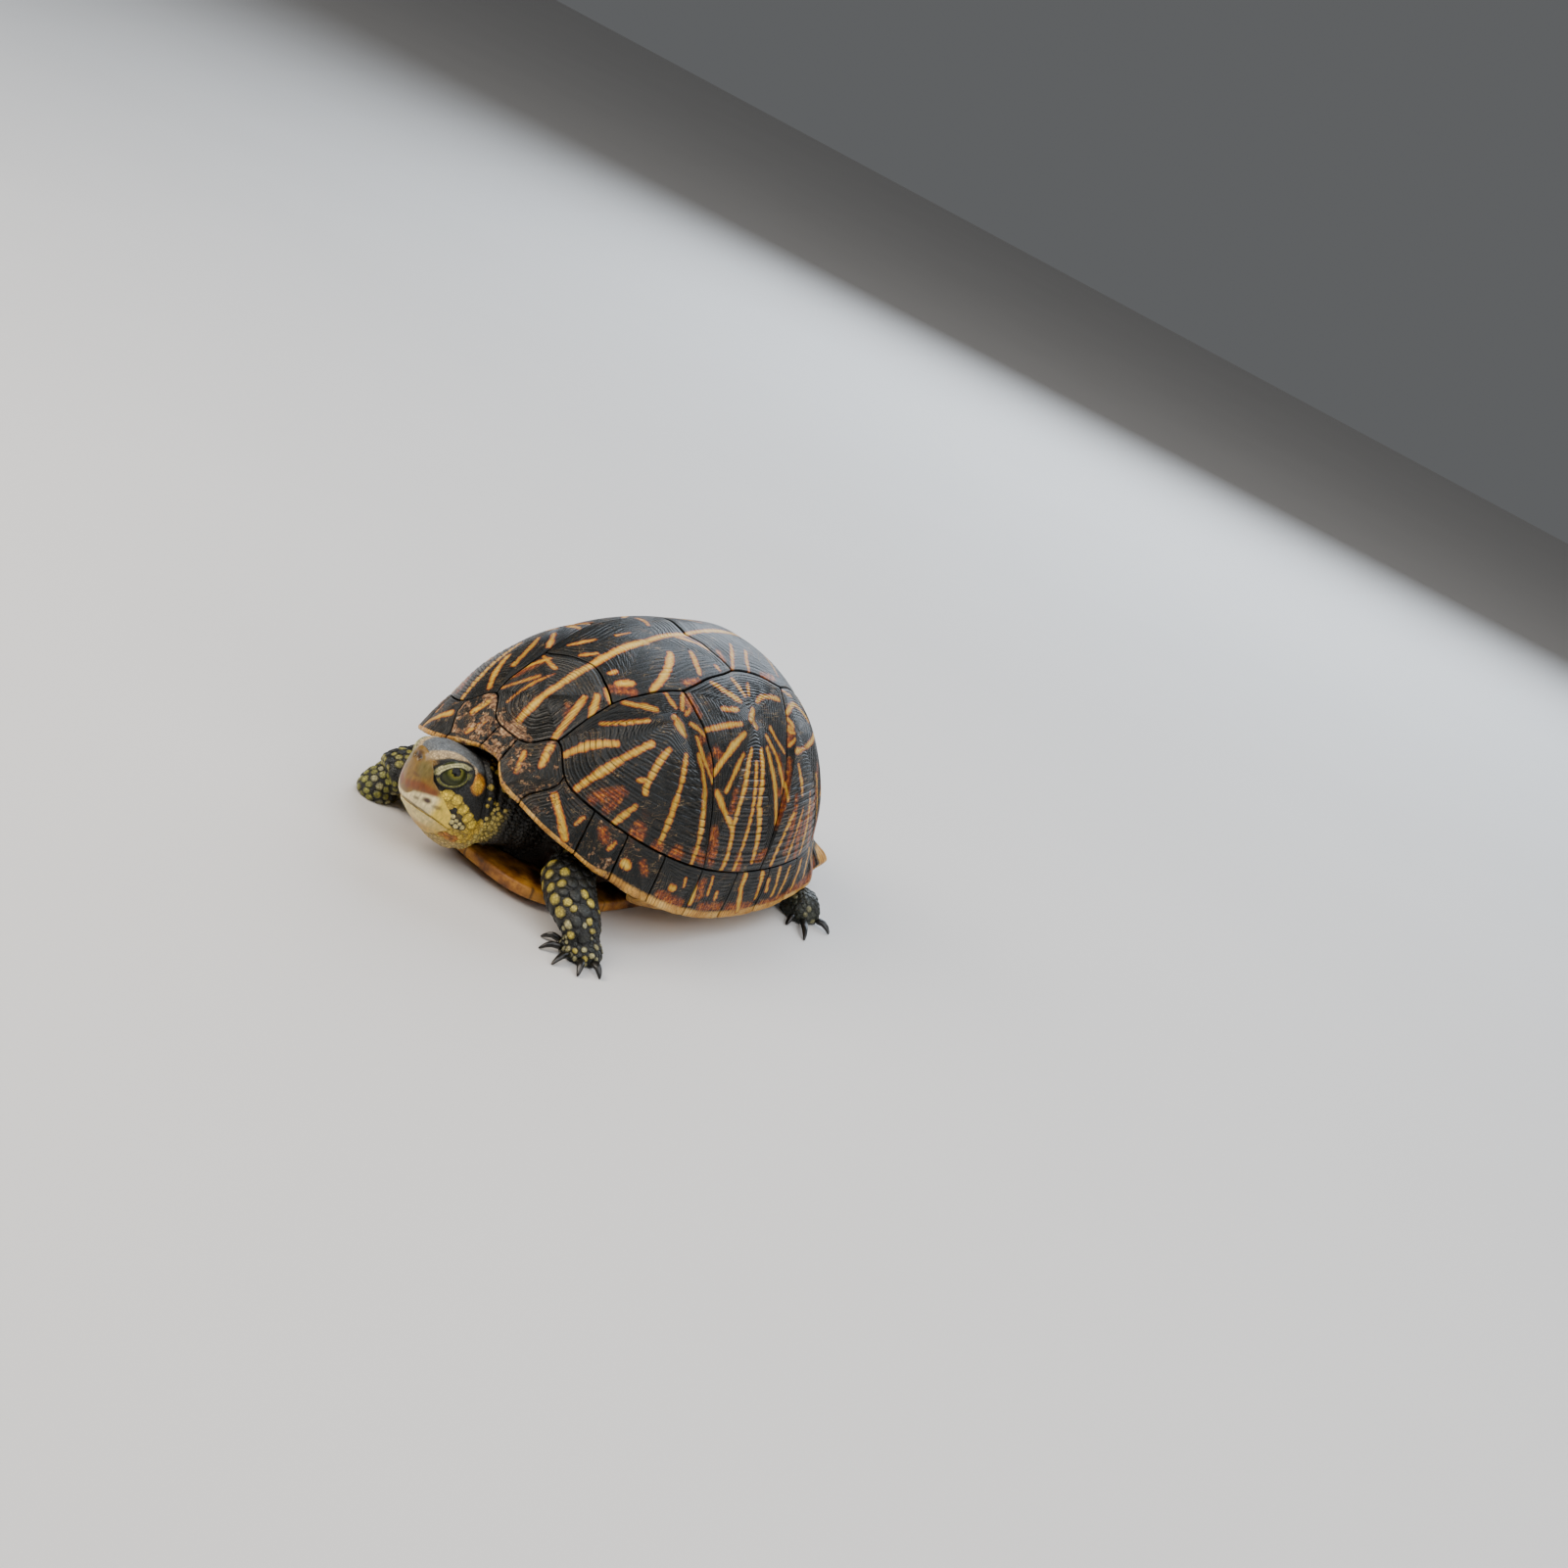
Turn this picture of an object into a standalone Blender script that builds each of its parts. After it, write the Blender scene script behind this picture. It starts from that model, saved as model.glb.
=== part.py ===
"""Adult Florida box turtle, lying on its plastron with its head out and turned to its right.

Still, life-size display model.  World frame: +Z up, head towards -Y, the turtle's left
towards +X, origin on the floor under the middle of the plastron.  Sizes are in
millimetres; MM turns them into Blender's metres when a mesh is made.
"""
import math

import bmesh
import bpy
from mathutils import Matrix, Vector

MM = 0.001
GAP = 0.3                      # clear space between solids that touch in life

# ---- driving dimensions of the shell ---------------------------------------------------
FRONT_REACH = 66.0             # from the middle to the rim over the head, before its flare
REAR_REACH = 68.0              # and to the rim over the tail
SHELL_WIDTH = 98.0
SHELL_HEIGHT = 75.0            # apex above the floor, before the pitch
APEX_BACK = 10.6               # the highest point lies behind the middle
PITCH = math.radians(3.8)      # the shell is carried with its front up
RIM_SIDE = 7.5                 # height of the rim's edge at the sides,
RIM_FRONT = 29.0               # over the head
RIM_REAR = 19.0                # and over the tail
PLAN_POWER = 2.6               # superellipse of the outline seen from above
DOME_POWER = 1.06              # how quickly the dome spreads out from its apex
FRONT_FLARE = 5.0
REAR_FLARE = 5.5
PLATE = 2.6                    # thickness of the scutes
SCUTE_BULGE = 0.5              # each scute stands this proud of its seams
SEAM = 0.0030                  # half a seam, on the unit disk that the shell is laid out on
RIM_LIP = 7.5                  # how far the rim's underside runs back in
LIP_RISE = 1.4                 # its inner edge lies this far above the outer one
RING_REACH = 0.862             # where the rim scutes begin, on the unit disk
NUCHAL_HALF = 4.5              # degrees of rim that the nuchal scute takes on each side
NOTCH_DEPTH = 0.060            # the rim is cut back over the neck, on the unit disk
NOTCH_AT = 2.0                 # degrees to the left of dead ahead,
NOTCH_LEFT = 6.0               # and its spread to either side in degrees
NOTCH_RIGHT = 16.0
FIRST_MARGINAL_PEAK = 16.8     # degrees at which the first marginal reaches highest,
FIRST_MARGINAL_RISE = 0.087    # how much higher than the rest, on the disk,
FIRST_MARGINAL_SPREAD = 6.5    # and over how many degrees
RIM_SEAMS = [NUCHAL_HALF, 25.0, 37.5, 48.5, 61.0, 75.0, 90.0, 104.0, 118.0, 132.0, 146.0,
             163.0, 180.0]     # degrees from dead ahead
RIM_NOTCH = {132.0: -1.8, 146.0: -8.0, 163.0: -1.8}   # rear seams stand out as spurs
SEAM_NOTCH = 0.7               # the other seams notch the rim by this much

# ---- plastron --------------------------------------------------------------------------
PLASTRON_HALF_WIDTH = 31.0
PLASTRON_FRONT = 58.5
PLASTRON_REAR = 62.0
PLASTRON_THICK = 3.6
PLASTRON_FRONT_POWER = 4.0     # how square each lobe's outline is
PLASTRON_REAR_POWER = 2.6
HINGE_Y = -10.0                # the cross hinge between the two lobes
FRONT_LOBE_RISE = 2.6          # the front lobe turns up by this much at its edge,
RISE_STARTS = 22.0             # starting this far ahead of the middle
LOBE_CENTRE = 24.0             # middle of each lobe, from the hinge

# ---- head, placed by its centre and its yaw --------------------------------------------
HEAD_CENTRE = (-7.5, -67.2, 20.9)
HEAD_YAW = math.radians(-18.0)       # turned to the turtle's right,
HEAD_PITCH = math.radians(-5.0)      # its nose up
HEAD_ROLL = math.radians(7.0)        # and its left side up
EYE_RADIUS = 4.3
EYE_PLACE = (5.2, 7.0, 6.2)          # ahead, aside and above the head's centre

COLOURS = {
    "scute": (0.045, 0.040, 0.035),
    "rim": (0.16, 0.09, 0.04),
    "plastron": (0.36, 0.19, 0.08),
    "skin": (0.05, 0.045, 0.03),
    "beak": (0.42, 0.24, 0.08),
    "eye": (0.06, 0.07, 0.02),
    "claw": (0.02, 0.018, 0.016),
}
ROUGHNESS = {"scute": 0.35, "rim": 0.45, "plastron": 0.5, "skin": 0.6, "beak": 0.4,
             "eye": 0.05, "claw": 0.35}


# ---- scene, materials and mesh helpers -------------------------------------------------
def clear_scene():
    for item in list(bpy.data.objects):
        bpy.data.objects.remove(item, do_unlink=True)


def new_collection(name):
    collection = bpy.data.collections.new(name)
    bpy.context.scene.collection.children.link(collection)
    return collection


def new_material(name, finish):
    material = bpy.data.materials.new(name)
    material.use_nodes = True
    shader = material.node_tree.nodes["Principled BSDF"]
    shader.inputs["Base Color"].default_value = (*COLOURS[finish], 1.0)
    shader.inputs["Roughness"].default_value = ROUGHNESS[finish]
    shader.inputs["Metallic"].default_value = 0.0
    material.diffuse_color = (*COLOURS[finish], 1.0)
    return material


def add_object(name, bm, finish, collection):
    """Turn a bmesh in millimetres into a smooth-shaded object in metres."""
    bmesh.ops.scale(bm, vec=(MM, MM, MM), verts=bm.verts)
    if bm.calc_volume(signed=True) < 0:
        bmesh.ops.reverse_faces(bm, faces=bm.faces)
    mesh = bpy.data.meshes.new(name)
    bm.to_mesh(mesh)
    bm.free()
    mesh.shade_smooth()
    mesh.set_sharp_from_angle(angle=math.radians(50))
    item = bpy.data.objects.new(name, mesh)
    item.data.materials.append(new_material(name, finish))
    collection.objects.link(item)
    return item


def ring_body(rings, first, last):
    """A closed body: a UV sphere whose rings and poles are moved to the given points."""
    around = len(rings[0])
    bm = bmesh.new()
    bmesh.ops.create_uvsphere(bm, u_segments=around, v_segments=len(rings) + 1, radius=1.0)
    step = math.pi / (len(rings) + 1)
    for vert in bm.verts:
        row = round(math.acos(max(-1.0, min(1.0, vert.co.z))) / step)
        if row == 0:
            vert.co = first
        elif row == len(rings) + 1:
            vert.co = last
        else:
            turn = math.atan2(vert.co.y, vert.co.x) / (2 * math.pi)
            vert.co = rings[row - 1][round(turn * around) % around]
    return bm


def smoothstep(low, high, value):
    t = max(0.0, min(1.0, (value - low) / (high - low)))
    return t * t * (3 - 2 * t)


def mean(points):
    return sum(points, Vector()) / len(points)


# ---- the shell's surface: a unit disk, p forward and q left, laid over the dome ---------
def dome(p, q):
    rho = min(math.hypot(p, q), 1.0)
    angle = math.atan2(q, p)
    ahead, aside = math.cos(angle), math.sin(angle)
    front = max(ahead, 0.0) ** 2
    rear = max(-ahead, 0.0) ** 1.6
    reach = (abs(ahead) ** PLAN_POWER + abs(aside) ** PLAN_POWER) ** (-1 / PLAN_POWER)
    spread = math.sin(rho * math.pi / 2) ** DOME_POWER
    rise = max(math.cos(rho * math.pi / 2), 0.0)
    flare = max(0.0, (rho - 0.8) / 0.2) ** 2 * (FRONT_FLARE * front + REAR_FLARE * rear)
    left = SHELL_WIDTH / 2 * reach * aside * (1 - 0.06 * ahead) * spread + flare * aside
    half_length = FRONT_REACH if ahead > 0 else REAR_REACH
    forward = (half_length * reach * ahead + APEX_BACK) * spread - APEX_BACK
    forward += flare * ahead
    rim = RIM_SIDE + (RIM_FRONT - RIM_SIDE) * front + (RIM_REAR - RIM_SIDE) * rear
    height = rim + (SHELL_HEIGHT - rim) * rise
    back = -forward * math.cos(PITCH) + height * math.sin(PITCH)
    up = forward * math.sin(PITCH) + height * math.cos(PITCH)
    return Vector((left, back, up))


def carapace(p, q, depth=0.0):
    """The point at (p, q) of the disk, moved in by depth along the shell's normal."""
    step = 0.004
    rho = math.hypot(p, q)
    if rho > 1 - 2 * step:
        p, q = p * (1 - 2 * step) / rho, q * (1 - 2 * step) / rho
        edge = dome(p / math.hypot(p, q), q / math.hypot(p, q))
    else:
        edge = dome(p, q)
    along = dome(p + step, q) - dome(p - step, q)
    across = dome(p, q + step) - dome(p, q - step)
    return edge - along.cross(across).normalized() * depth


def ring_edge(degrees):
    """Where the rim scutes begin, as a distance from the disk's centre.

    The first marginal beside the nuchal reaches further up the dome than the rest."""
    off_peak = (abs(degrees) - FIRST_MARGINAL_PEAK) / FIRST_MARGINAL_SPREAD
    return RING_REACH - FIRST_MARGINAL_RISE * math.exp(-off_peak ** 2)


def rim_end(degrees):
    """Where the rim ends, as a distance from the disk's centre: 1, but for the neck's notch."""
    off = degrees - NOTCH_AT
    spread = NOTCH_LEFT if off > 0 else NOTCH_RIGHT
    return 1 - NOTCH_DEPTH * math.exp(-(off / spread) ** 2)


def ring_angles():
    """The angles at which the rim and everything that meets it are cut into facets."""
    angles = [NUCHAL_HALF + (RIM_SEAMS[1] - NUCHAL_HALF) * i / 5 for i in range(5)]
    for first, last in zip(RIM_SEAMS[1:], RIM_SEAMS[2:]):
        angles += [first + (last - first) * i / 3 for i in range(3)]
    return angles + [180.0]


def on_ring(degrees):
    """The facet corner of the rim's inner edge nearest to an angle."""
    nearest = min(ring_angles(), key=lambda angle: abs(angle - degrees))
    reach = ring_edge(nearest)
    return (reach * math.cos(math.radians(nearest)), reach * math.sin(math.radians(nearest)))


# ---- scutes of the dome ----------------------------------------------------------------
def mirrored(corners):
    """Complete a scute that crosses the spine from its left half, spine to spine."""
    right = [(p, -q) for p, q in reversed(corners) if q > 1e-6]
    return corners + right


V1_SIDE, V2_SIDE, V3_SIDE, V4_SIDE = (0.505, 0.0), (0.17, 0.0), (-0.24, 0.0), (-0.56, 0.0)
V1_CORNER, V2_CORNER, V3_CORNER, V4_CORNER = ((0.524, 0.212), (0.082, 0.215), (-0.33, 0.20),
                                              (-0.58, 0.16))
C1_CORNER, C2_CORNER, C3_CORNER = (0.290, 0.261), (-0.15, 0.245), (-0.46, 0.22)
C1_WAIST = (0.239, 0.49)
C1_FOOT, C2_FOOT, C3_FOOT, C4_FOOT = 75.0, 99.3, 127.0, 157.3

VERTEBRALS = [
    ((0.70, 0.0), mirrored([on_ring(NUCHAL_HALF), on_ring(16.8), V1_CORNER, V1_SIDE])),
    ((0.32, 0.0), mirrored([V1_SIDE, V1_CORNER, (0.409, 0.231), C1_CORNER, V2_CORNER, V2_SIDE])),
    ((-0.05, 0.0), mirrored([V2_SIDE, V2_CORNER, C2_CORNER, V3_CORNER, V3_SIDE])),
    ((-0.41, 0.0), mirrored([V3_SIDE, V3_CORNER, C3_CORNER, V4_CORNER, V4_SIDE])),
    ((-0.70, 0.0), mirrored([V4_SIDE, V4_CORNER, on_ring(C4_FOOT), on_ring(180)])),
]
COSTALS = [
    ((0.40, 0.42), [on_ring(16.8), V1_CORNER, (0.409, 0.231), C1_CORNER, C1_WAIST,
                    on_ring(C1_FOOT)]),
    ((0.042, 0.46), [C1_CORNER, V2_CORNER, C2_CORNER, on_ring(C2_FOOT), on_ring(C1_FOOT),
                     C1_WAIST]),
    ((-0.30, 0.42), [C2_CORNER, V3_CORNER, C3_CORNER, on_ring(C3_FOOT), on_ring(C2_FOOT)]),
    ((-0.58, 0.37), [C3_CORNER, V4_CORNER, on_ring(C4_FOOT), on_ring(C3_FOOT)]),
]


def edge_samples(start, end):
    """Points from one corner of a scute to the next, without the last one."""
    turns = [math.degrees(math.atan2(q, p)) for p, q in (start, end)]
    along_ring = all(abs(math.hypot(*corner) - ring_edge(turn)) < 1e-6
                     for corner, turn in zip((start, end), turns))
    if along_ring:
        low, high = sorted(abs(turn) for turn in turns)
        if turns[0] * turns[1] < 0:
            return [start]
        between = [angle for angle in ring_angles() if low + 0.01 < angle < high - 0.01]
        if abs(turns[0]) > abs(turns[1]):
            between.reverse()
        side = math.copysign(1.0, turns[0] + turns[1])
        points = [on_ring(angle) for angle in between]
        return [start] + [(p, q * side) for p, q in points]
    count = max(1, round(math.hypot(end[0] - start[0], end[1] - start[1]) * 9))
    return [(start[0] + (end[0] - start[0]) * i / count,
             start[1] + (end[1] - start[1]) * i / count) for i in range(count)]


def scute_outline(corners):
    """The scute's edge on the disk, drawn in by half a seam all round."""
    points = []
    for i, corner in enumerate(corners):
        points += edge_samples(corner, corners[(i + 1) % len(corners)])
    count = len(points)
    area = sum(points[i][0] * points[(i + 1) % count][1]
               - points[(i + 1) % count][0] * points[i][1] for i in range(count))
    if area < 0:
        points.reverse()
    drawn_in = []
    for i, (p, q) in enumerate(points):
        before, after = points[i - 1], points[(i + 1) % count]
        run = Vector((after[0] - before[0], after[1] - before[1])).normalized()
        drawn_in.append((p - run.y * SEAM, q + run.x * SEAM))
    return drawn_in


# share of the way from the areola to the edge, and depth below the shell's surface
SCUTE_RINGS = [(0.55, -0.4), (0.94, 0.0), (1.0, 0.7), (1.0, PLATE), (0.5, PLATE)]


def scute(name, areola, corners, collection):
    outline = scute_outline(corners)
    rings = []
    for share, depth in SCUTE_RINGS:
        rings.append([carapace(areola[0] + (p - areola[0]) * share,
                               areola[1] + (q - areola[1]) * share, depth)
                      for p, q in outline])
    top = carapace(*areola, -SCUTE_BULGE)
    under = carapace(*areola, PLATE)
    return add_object(name, ring_body(rings, top, under), "scute", collection)


def build_dome(collection):
    for number, (areola, corners) in enumerate(VERTEBRALS, start=1):
        scute(f"vertebral_{number}", areola, corners, collection)
    for side, sign in (("left", 1), ("right", -1)):
        for number, (areola, corners) in enumerate(COSTALS, start=1):
            turned = [(p, q * sign) for p, q in corners]
            scute(f"costal_{side}_{number}", (areola[0], areola[1] * sign), turned, collection)


# ---- plastron outline ------------------------------------------------------------------
def plastron_half_width(y):
    length, power = PLASTRON_REAR, PLASTRON_REAR_POWER
    if y < 0:
        length, power = PLASTRON_FRONT, PLASTRON_FRONT_POWER
    return PLASTRON_HALF_WIDTH * max(0.0, 1 - abs(y / length) ** power) ** (1 / power)


def plastron_floor(y):
    """Height of the plastron's underside: flat, with the front lobe turned up."""
    ahead = smoothstep(RISE_STARTS, PLASTRON_FRONT, -y)
    return FRONT_LOBE_RISE * ahead ** 1.3


# ---- rim scutes ------------------------------------------------------------------------
BRIDGE_STARTS = 0.80           # sine of the rim angle at which the lip starts for the bridge
BRIDGE_FULL = 0.965            # and at which it has reached it
BRIDGE_HEIGHT = 3.6
BRIDGE_LENGTH = 0.9            # length of the bridge as a share of the rim's


def rim_edge(turn):
    reach = rim_end(math.degrees(turn))
    return dome(reach * math.cos(turn), reach * math.sin(turn))


def lip_point(turn, extra=0.0):
    """Inner edge of the rim's underside; it reaches the plastron at the bridge."""
    edge = rim_edge(turn)
    inward = Vector((-edge.x, -edge.y, 0.0)).normalized()
    free = edge + inward * (RIM_LIP + extra) + Vector((0, 0, LIP_RISE))
    y = edge.y * BRIDGE_LENGTH
    half_width = plastron_half_width(y) + 0.5 - extra
    bridge = Vector((math.copysign(half_width, math.sin(turn)), y, BRIDGE_HEIGHT))
    return free.lerp(bridge, smoothstep(BRIDGE_STARTS, BRIDGE_FULL, abs(math.sin(turn))))


RIM_TRIM = 0.15                # degrees kept free at each end of a run of rim scutes


def rim_section(degrees, scallop):
    """Outline of the rim across its run, from the dome's edge out, under and back."""
    turn = math.radians(degrees)
    start = ring_edge(degrees) + 2 * SEAM
    edge = rim_edge(turn)
    outward = Vector((edge.x, edge.y, 0.0)).normalized()
    points = []
    for share in (0.0, 0.4, 0.78):
        rho = start + (rim_end(degrees) - start) * share
        points.append(carapace(rho * math.cos(turn), rho * math.sin(turn),
                               0.6 if share == 0.0 else 0.0))
    points.append(edge - outward * scallop)
    points.append(edge - outward * (scallop + 1.4) - Vector((0, 0, 1.0)))
    points.append(lip_point(turn))
    points.append(carapace(start * math.cos(turn), start * math.sin(turn), PLATE))
    return points


def rim_strip(name, first, last, sign, collection):
    """A run of rim scutes in one piece, slightly notched at each seam."""
    sections = []
    for degrees in ring_angles():
        if first <= degrees <= last:
            plain = SEAM_NOTCH if degrees in RIM_SEAMS else 0.0
            sections.append([degrees, RIM_NOTCH.get(degrees, plain)])
    sections[0][0] += RIM_TRIM
    sections[-1][0] -= RIM_TRIM
    rings = [rim_section(sign * degrees, notch) for degrees, notch in sections]
    body = ring_body(rings, mean(rings[0]), mean(rings[-1]))
    return add_object(name, body, "rim", collection)


def build_rim(collection):
    for side, sign in (("left", 1), ("right", -1)):
        rim_strip(f"marginals_{side}_front", NUCHAL_HALF, C1_FOOT, sign, collection)
        rim_strip(f"marginals_{side}_rear", C1_FOOT, 180.0, sign, collection)
    edge = NUCHAL_HALF - RIM_TRIM
    rings = [rim_section(degrees, 0.0) for degrees in (-edge, 0.0, edge)]
    body = ring_body(rings, mean(rings[0]), mean(rings[-1]))
    add_object("nuchal", body, "rim", collection)


# ---- plastron --------------------------------------------------------------------------
# share of the way from a lobe's middle to its edge, and height above its underside
LOBE_RINGS = [(0.5, PLASTRON_THICK), (0.97, PLASTRON_THICK), (1.0, PLASTRON_THICK - 0.7),
              (1.0, 0.9), (0.95, 0.0), (0.5, 0.0)]
LOBE_STEPS = 9


def plastron_lobe(name, toward, collection):
    """One lobe of the plastron; toward is -1 for the front lobe and +1 for the rear."""
    hinge = HINGE_Y + toward * GAP / 2
    length = PLASTRON_FRONT if toward < 0 else PLASTRON_REAR
    arc = []
    for i in range(LOBE_STEPS + 1):
        t = math.sin(i / LOBE_STEPS * math.pi / 2)
        y = hinge + (toward * length - hinge) * t
        arc.append((plastron_half_width(y), y))
    outline = arc + [(-x, y) for x, y in reversed(arc[:-1])]
    outline += [(x, hinge) for x in (-PLASTRON_HALF_WIDTH / 3, PLASTRON_HALF_WIDTH / 3)]
    centre_y = hinge + toward * LOBE_CENTRE
    rings = []
    for share, lift in LOBE_RINGS:
        ring = []
        for x, y in outline:
            along = centre_y + (y - centre_y) * share
            ring.append(Vector((x * share, along, plastron_floor(along) + lift)))
        rings.append(ring)
    under = Vector((0, centre_y, plastron_floor(centre_y)))
    top = under + Vector((0, 0, PLASTRON_THICK))
    return add_object(name, ring_body(rings, top, under), "plastron", collection)


# ---- flesh -----------------------------------------------------------------------------
TRUNK_INSIDE = PLATE + 1.2     # the flesh starts this far under the shell's surface
TRUNK_FRONT = -49.0            # and ends here behind the neck and the forelegs
TRUNK_LOW = (28.0, 50.0)       # half width and half length of its underside
TRUNK_CLEAR = 0.7              # height kept free over the plastron
TRUNK_IN_RING = 0.022          # its widest ring lies this far inside the rim scutes' start,
TRUNK_IN_FRONT = 0.11          # and this much further in over the neck, on the unit disk
TRUNK_IN_LIP = 1.8             # clear of the rim's lip, inward
TRUNK_OVER_LIP = 0.8           # and upward


def trunk_angles():
    """Every rim seam, and every facet of the first marginals, on both sides."""
    left = [angle for angle in ring_angles() if angle < RIM_SEAMS[1] or angle in RIM_SEAMS]
    right = [-angle for angle in reversed(left) if angle < 180.0]
    return [math.radians(angle) for angle in [0.0] + left + right]


def build_trunk(collection):
    """What fills the shell: under the scutes, behind the rim and over the plastron."""
    turns = trunk_angles()
    rings = []
    for share in (0.3, 0.62, 0.88, 1.0):
        ring = []
        for turn in turns:
            edge = ring_edge(math.degrees(turn)) - TRUNK_IN_RING
            reach = edge * share - TRUNK_IN_FRONT * share ** 4 * max(math.cos(turn), 0.0) ** 6
            ring.append(carapace(reach * math.cos(turn), reach * math.sin(turn), TRUNK_INSIDE))
        rings.append(ring)
    floor = PLASTRON_THICK + TRUNK_CLEAR
    lip, low, bottom = [], [], []
    for turn in turns:
        point = lip_point(turn, TRUNK_IN_LIP) + Vector((0, 0, TRUNK_OVER_LIP))
        lip.append(Vector((point.x, max(point.y, TRUNK_FRONT), point.z)))
        x = TRUNK_LOW[0] * math.sin(turn)
        y = max(-TRUNK_LOW[1] * math.cos(turn), TRUNK_FRONT)
        low.append(Vector((x, y, plastron_floor(y) + floor)))
        bottom.append(Vector((x * 0.5, y * 0.5, floor)))
    rings += [lip, low, bottom]
    return add_object("trunk", ring_body(rings, carapace(0, 0, TRUNK_INSIDE),
                                         Vector((0, 0, floor))), "skin", collection)


def limb(path, grow=0.0, around=12, floor=None):
    """A closed tube of oval sections; path rows are x, y, z, half width, half height."""
    centres = [Vector(row[:3]) for row in path]
    rings = []
    for i, centre in enumerate(centres):
        ahead = centres[min(i + 1, len(centres) - 1)] - centres[max(i - 1, 0)]
        side = ahead.cross(Vector((0, 0, 1))).normalized()
        up = side.cross(ahead).normalized()
        ring = []
        for k in range(around):
            turn = 2 * math.pi * k / around
            point = centre + side * ((path[i][3] + grow) * math.cos(turn))
            point += up * ((path[i][4] + grow) * math.sin(turn))
            if floor is not None:
                point.z = max(point.z, floor)
            ring.append(point)
        rings.append(ring)
    lead = (centres[0] - centres[1]).normalized() * grow
    tail = (centres[-1] - centres[-2]).normalized() * grow
    for point in rings[0]:
        point += lead
    for point in rings[-1]:
        point += tail
    return ring_body(rings, mean(rings[0]), mean(rings[-1]))


def cut(item, cutter, number):
    item_cut = item.modifiers.new(f"pocket_{number}", "BOOLEAN")
    item_cut.operation = "DIFFERENCE"
    item_cut.solver = "EXACT"
    item_cut.object = cutter


def hide_cutter(cutter):
    cutter.hide_render = True
    cutter.display_type = "WIRE"


def pocket(item, path, cutters, **shape):
    """Give the item a pocket that holds the limb's root with the usual gap."""
    number = len(cutters.objects)
    cutter = add_object(f"cutter_{number}", limb(path, grow=GAP, **shape), "skin", cutters)
    hide_cutter(cutter)
    cut(item, cutter, number)


NECK = [(4.5, -41.0, 18.8, 9.0, 8.6), (4.0, -46.5, 19.2, 11.2, 10.6),
        (1.2, -52.0, 19.6, 11.6, 11.2), (-3.9, -58.0, 20.0, 11.0, 10.8)]
TAIL = [(0.0, 44.0, 9.5, 6.0, 4.0), (0.5, 54.0, 9.2, 5.4, 3.9), (2.5, 62.0, 7.6, 3.6, 3.0),
        (5.5, 69.0, 5.2, 2.4, 2.2), (9.5, 74.0, 3.2, 1.0, 1.0)]
LEFT_FORELEG = [(22.5, -37.0, 12.8, 5.2, 4.8), (26.0, -45.0, 13.8, 6.8, 6.6),
                (30.0, -50.8, 13.6, 7.8, 7.0), (36.0, -54.0, 11.2, 7.7, 6.2),
                (42.0, -54.8, 8.0, 6.8, 5.0), (45.6, -55.0, 5.6, 5.6, 3.8)]
RIGHT_FORELEG = [(-22.0, -36.0, 12.8, 5.2, 4.8), (-26.0, -43.5, 13.0, 6.8, 6.2),
                 (-29.8, -51.0, 12.0, 8.0, 7.0), (-32.0, -58.0, 10.4, 7.6, 6.6),
                 (-33.6, -61.4, 8.4, 6.8, 5.4)]
LEFT_HINDLEG = [(17.0, 33.5, 10.6, 5.0, 3.4), (24.5, 41.0, 8.9, 5.8, 3.3),
                (33.0, 47.0, 5.8, 6.6, 3.4), (40.5, 49.6, 5.0, 6.2, 3.3),
                (45.0, 50.4, 5.2, 5.4, 3.2)]
RIGHT_HINDLEG = [(-17.0, 33.5, 10.6, 5.0, 3.4), (-24.5, 41.0, 8.9, 5.8, 3.3),
                 (-31.5, 48.0, 5.8, 6.6, 3.4), (-37.5, 52.4, 5.0, 6.2, 3.3),
                 (-41.5, 54.4, 5.2, 5.4, 3.2)]

# angle off the foot's heading in degrees and length of each claw
FORE_CLAWS = [(-66.0, 3.9), (-33.0, 4.9), (0.0, 5.8), (33.0, 4.9), (66.0, 3.9)]
CLOSED_FORE_CLAWS = [(-50.0, 3.9), (-25.0, 4.9), (0.0, 5.8), (25.0, 4.9), (50.0, 3.9)]
HIND_CLAWS = [(-28.0, 3.8), (-2.0, 9.2), (52.0, 4.4)]
MIRRORED_HIND_CLAWS = [(-angle, length) for angle, length in HIND_CLAWS]

# foot name, centre, heading, half length, half width, height, claws
FEET = [
    ("forefoot_left", (45.5, -54.2), -82.0, 6.6, 6.4, 6.4, FORE_CLAWS),
    ("forefoot_right", (-36.0, -59.4), -256.0, 6.8, 6.4, 9.2, CLOSED_FORE_CLAWS),
    ("hindfoot_left", (46.5, 50.4), -42.0, 7.0, 6.6, 9.0, HIND_CLAWS),
    ("hindfoot_right", (-43.0, 55.0), -138.0, 7.0, 6.6, 8.8, MIRRORED_HIND_CLAWS),
]
TOE_LENGTH = 1.3               # how far a toe stands out of the foot's oval
TOE_WIDTH = 0.17               # and its width, in radians
FOOT_FACETS = 28
# share of the way to the foot's edge, and share of its height
FOOT_RINGS = [(0.5, 0.93), (0.82, 0.62), (1.0, 0.26), (0.9, 0.0)]


def foot_reach(angle, half_length, half_width, claws):
    """Distance from the foot's centre to its edge at an angle off the heading."""
    reach = 1 / math.hypot(math.cos(angle) / half_length, math.sin(angle) / half_width)
    bump = 0.0
    for toe, _ in claws:
        off = math.remainder(angle - math.radians(toe), 2 * math.pi)
        bump = max(bump, math.exp(-((off / TOE_WIDTH) ** 2)))
    return reach + TOE_LENGTH * bump


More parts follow.
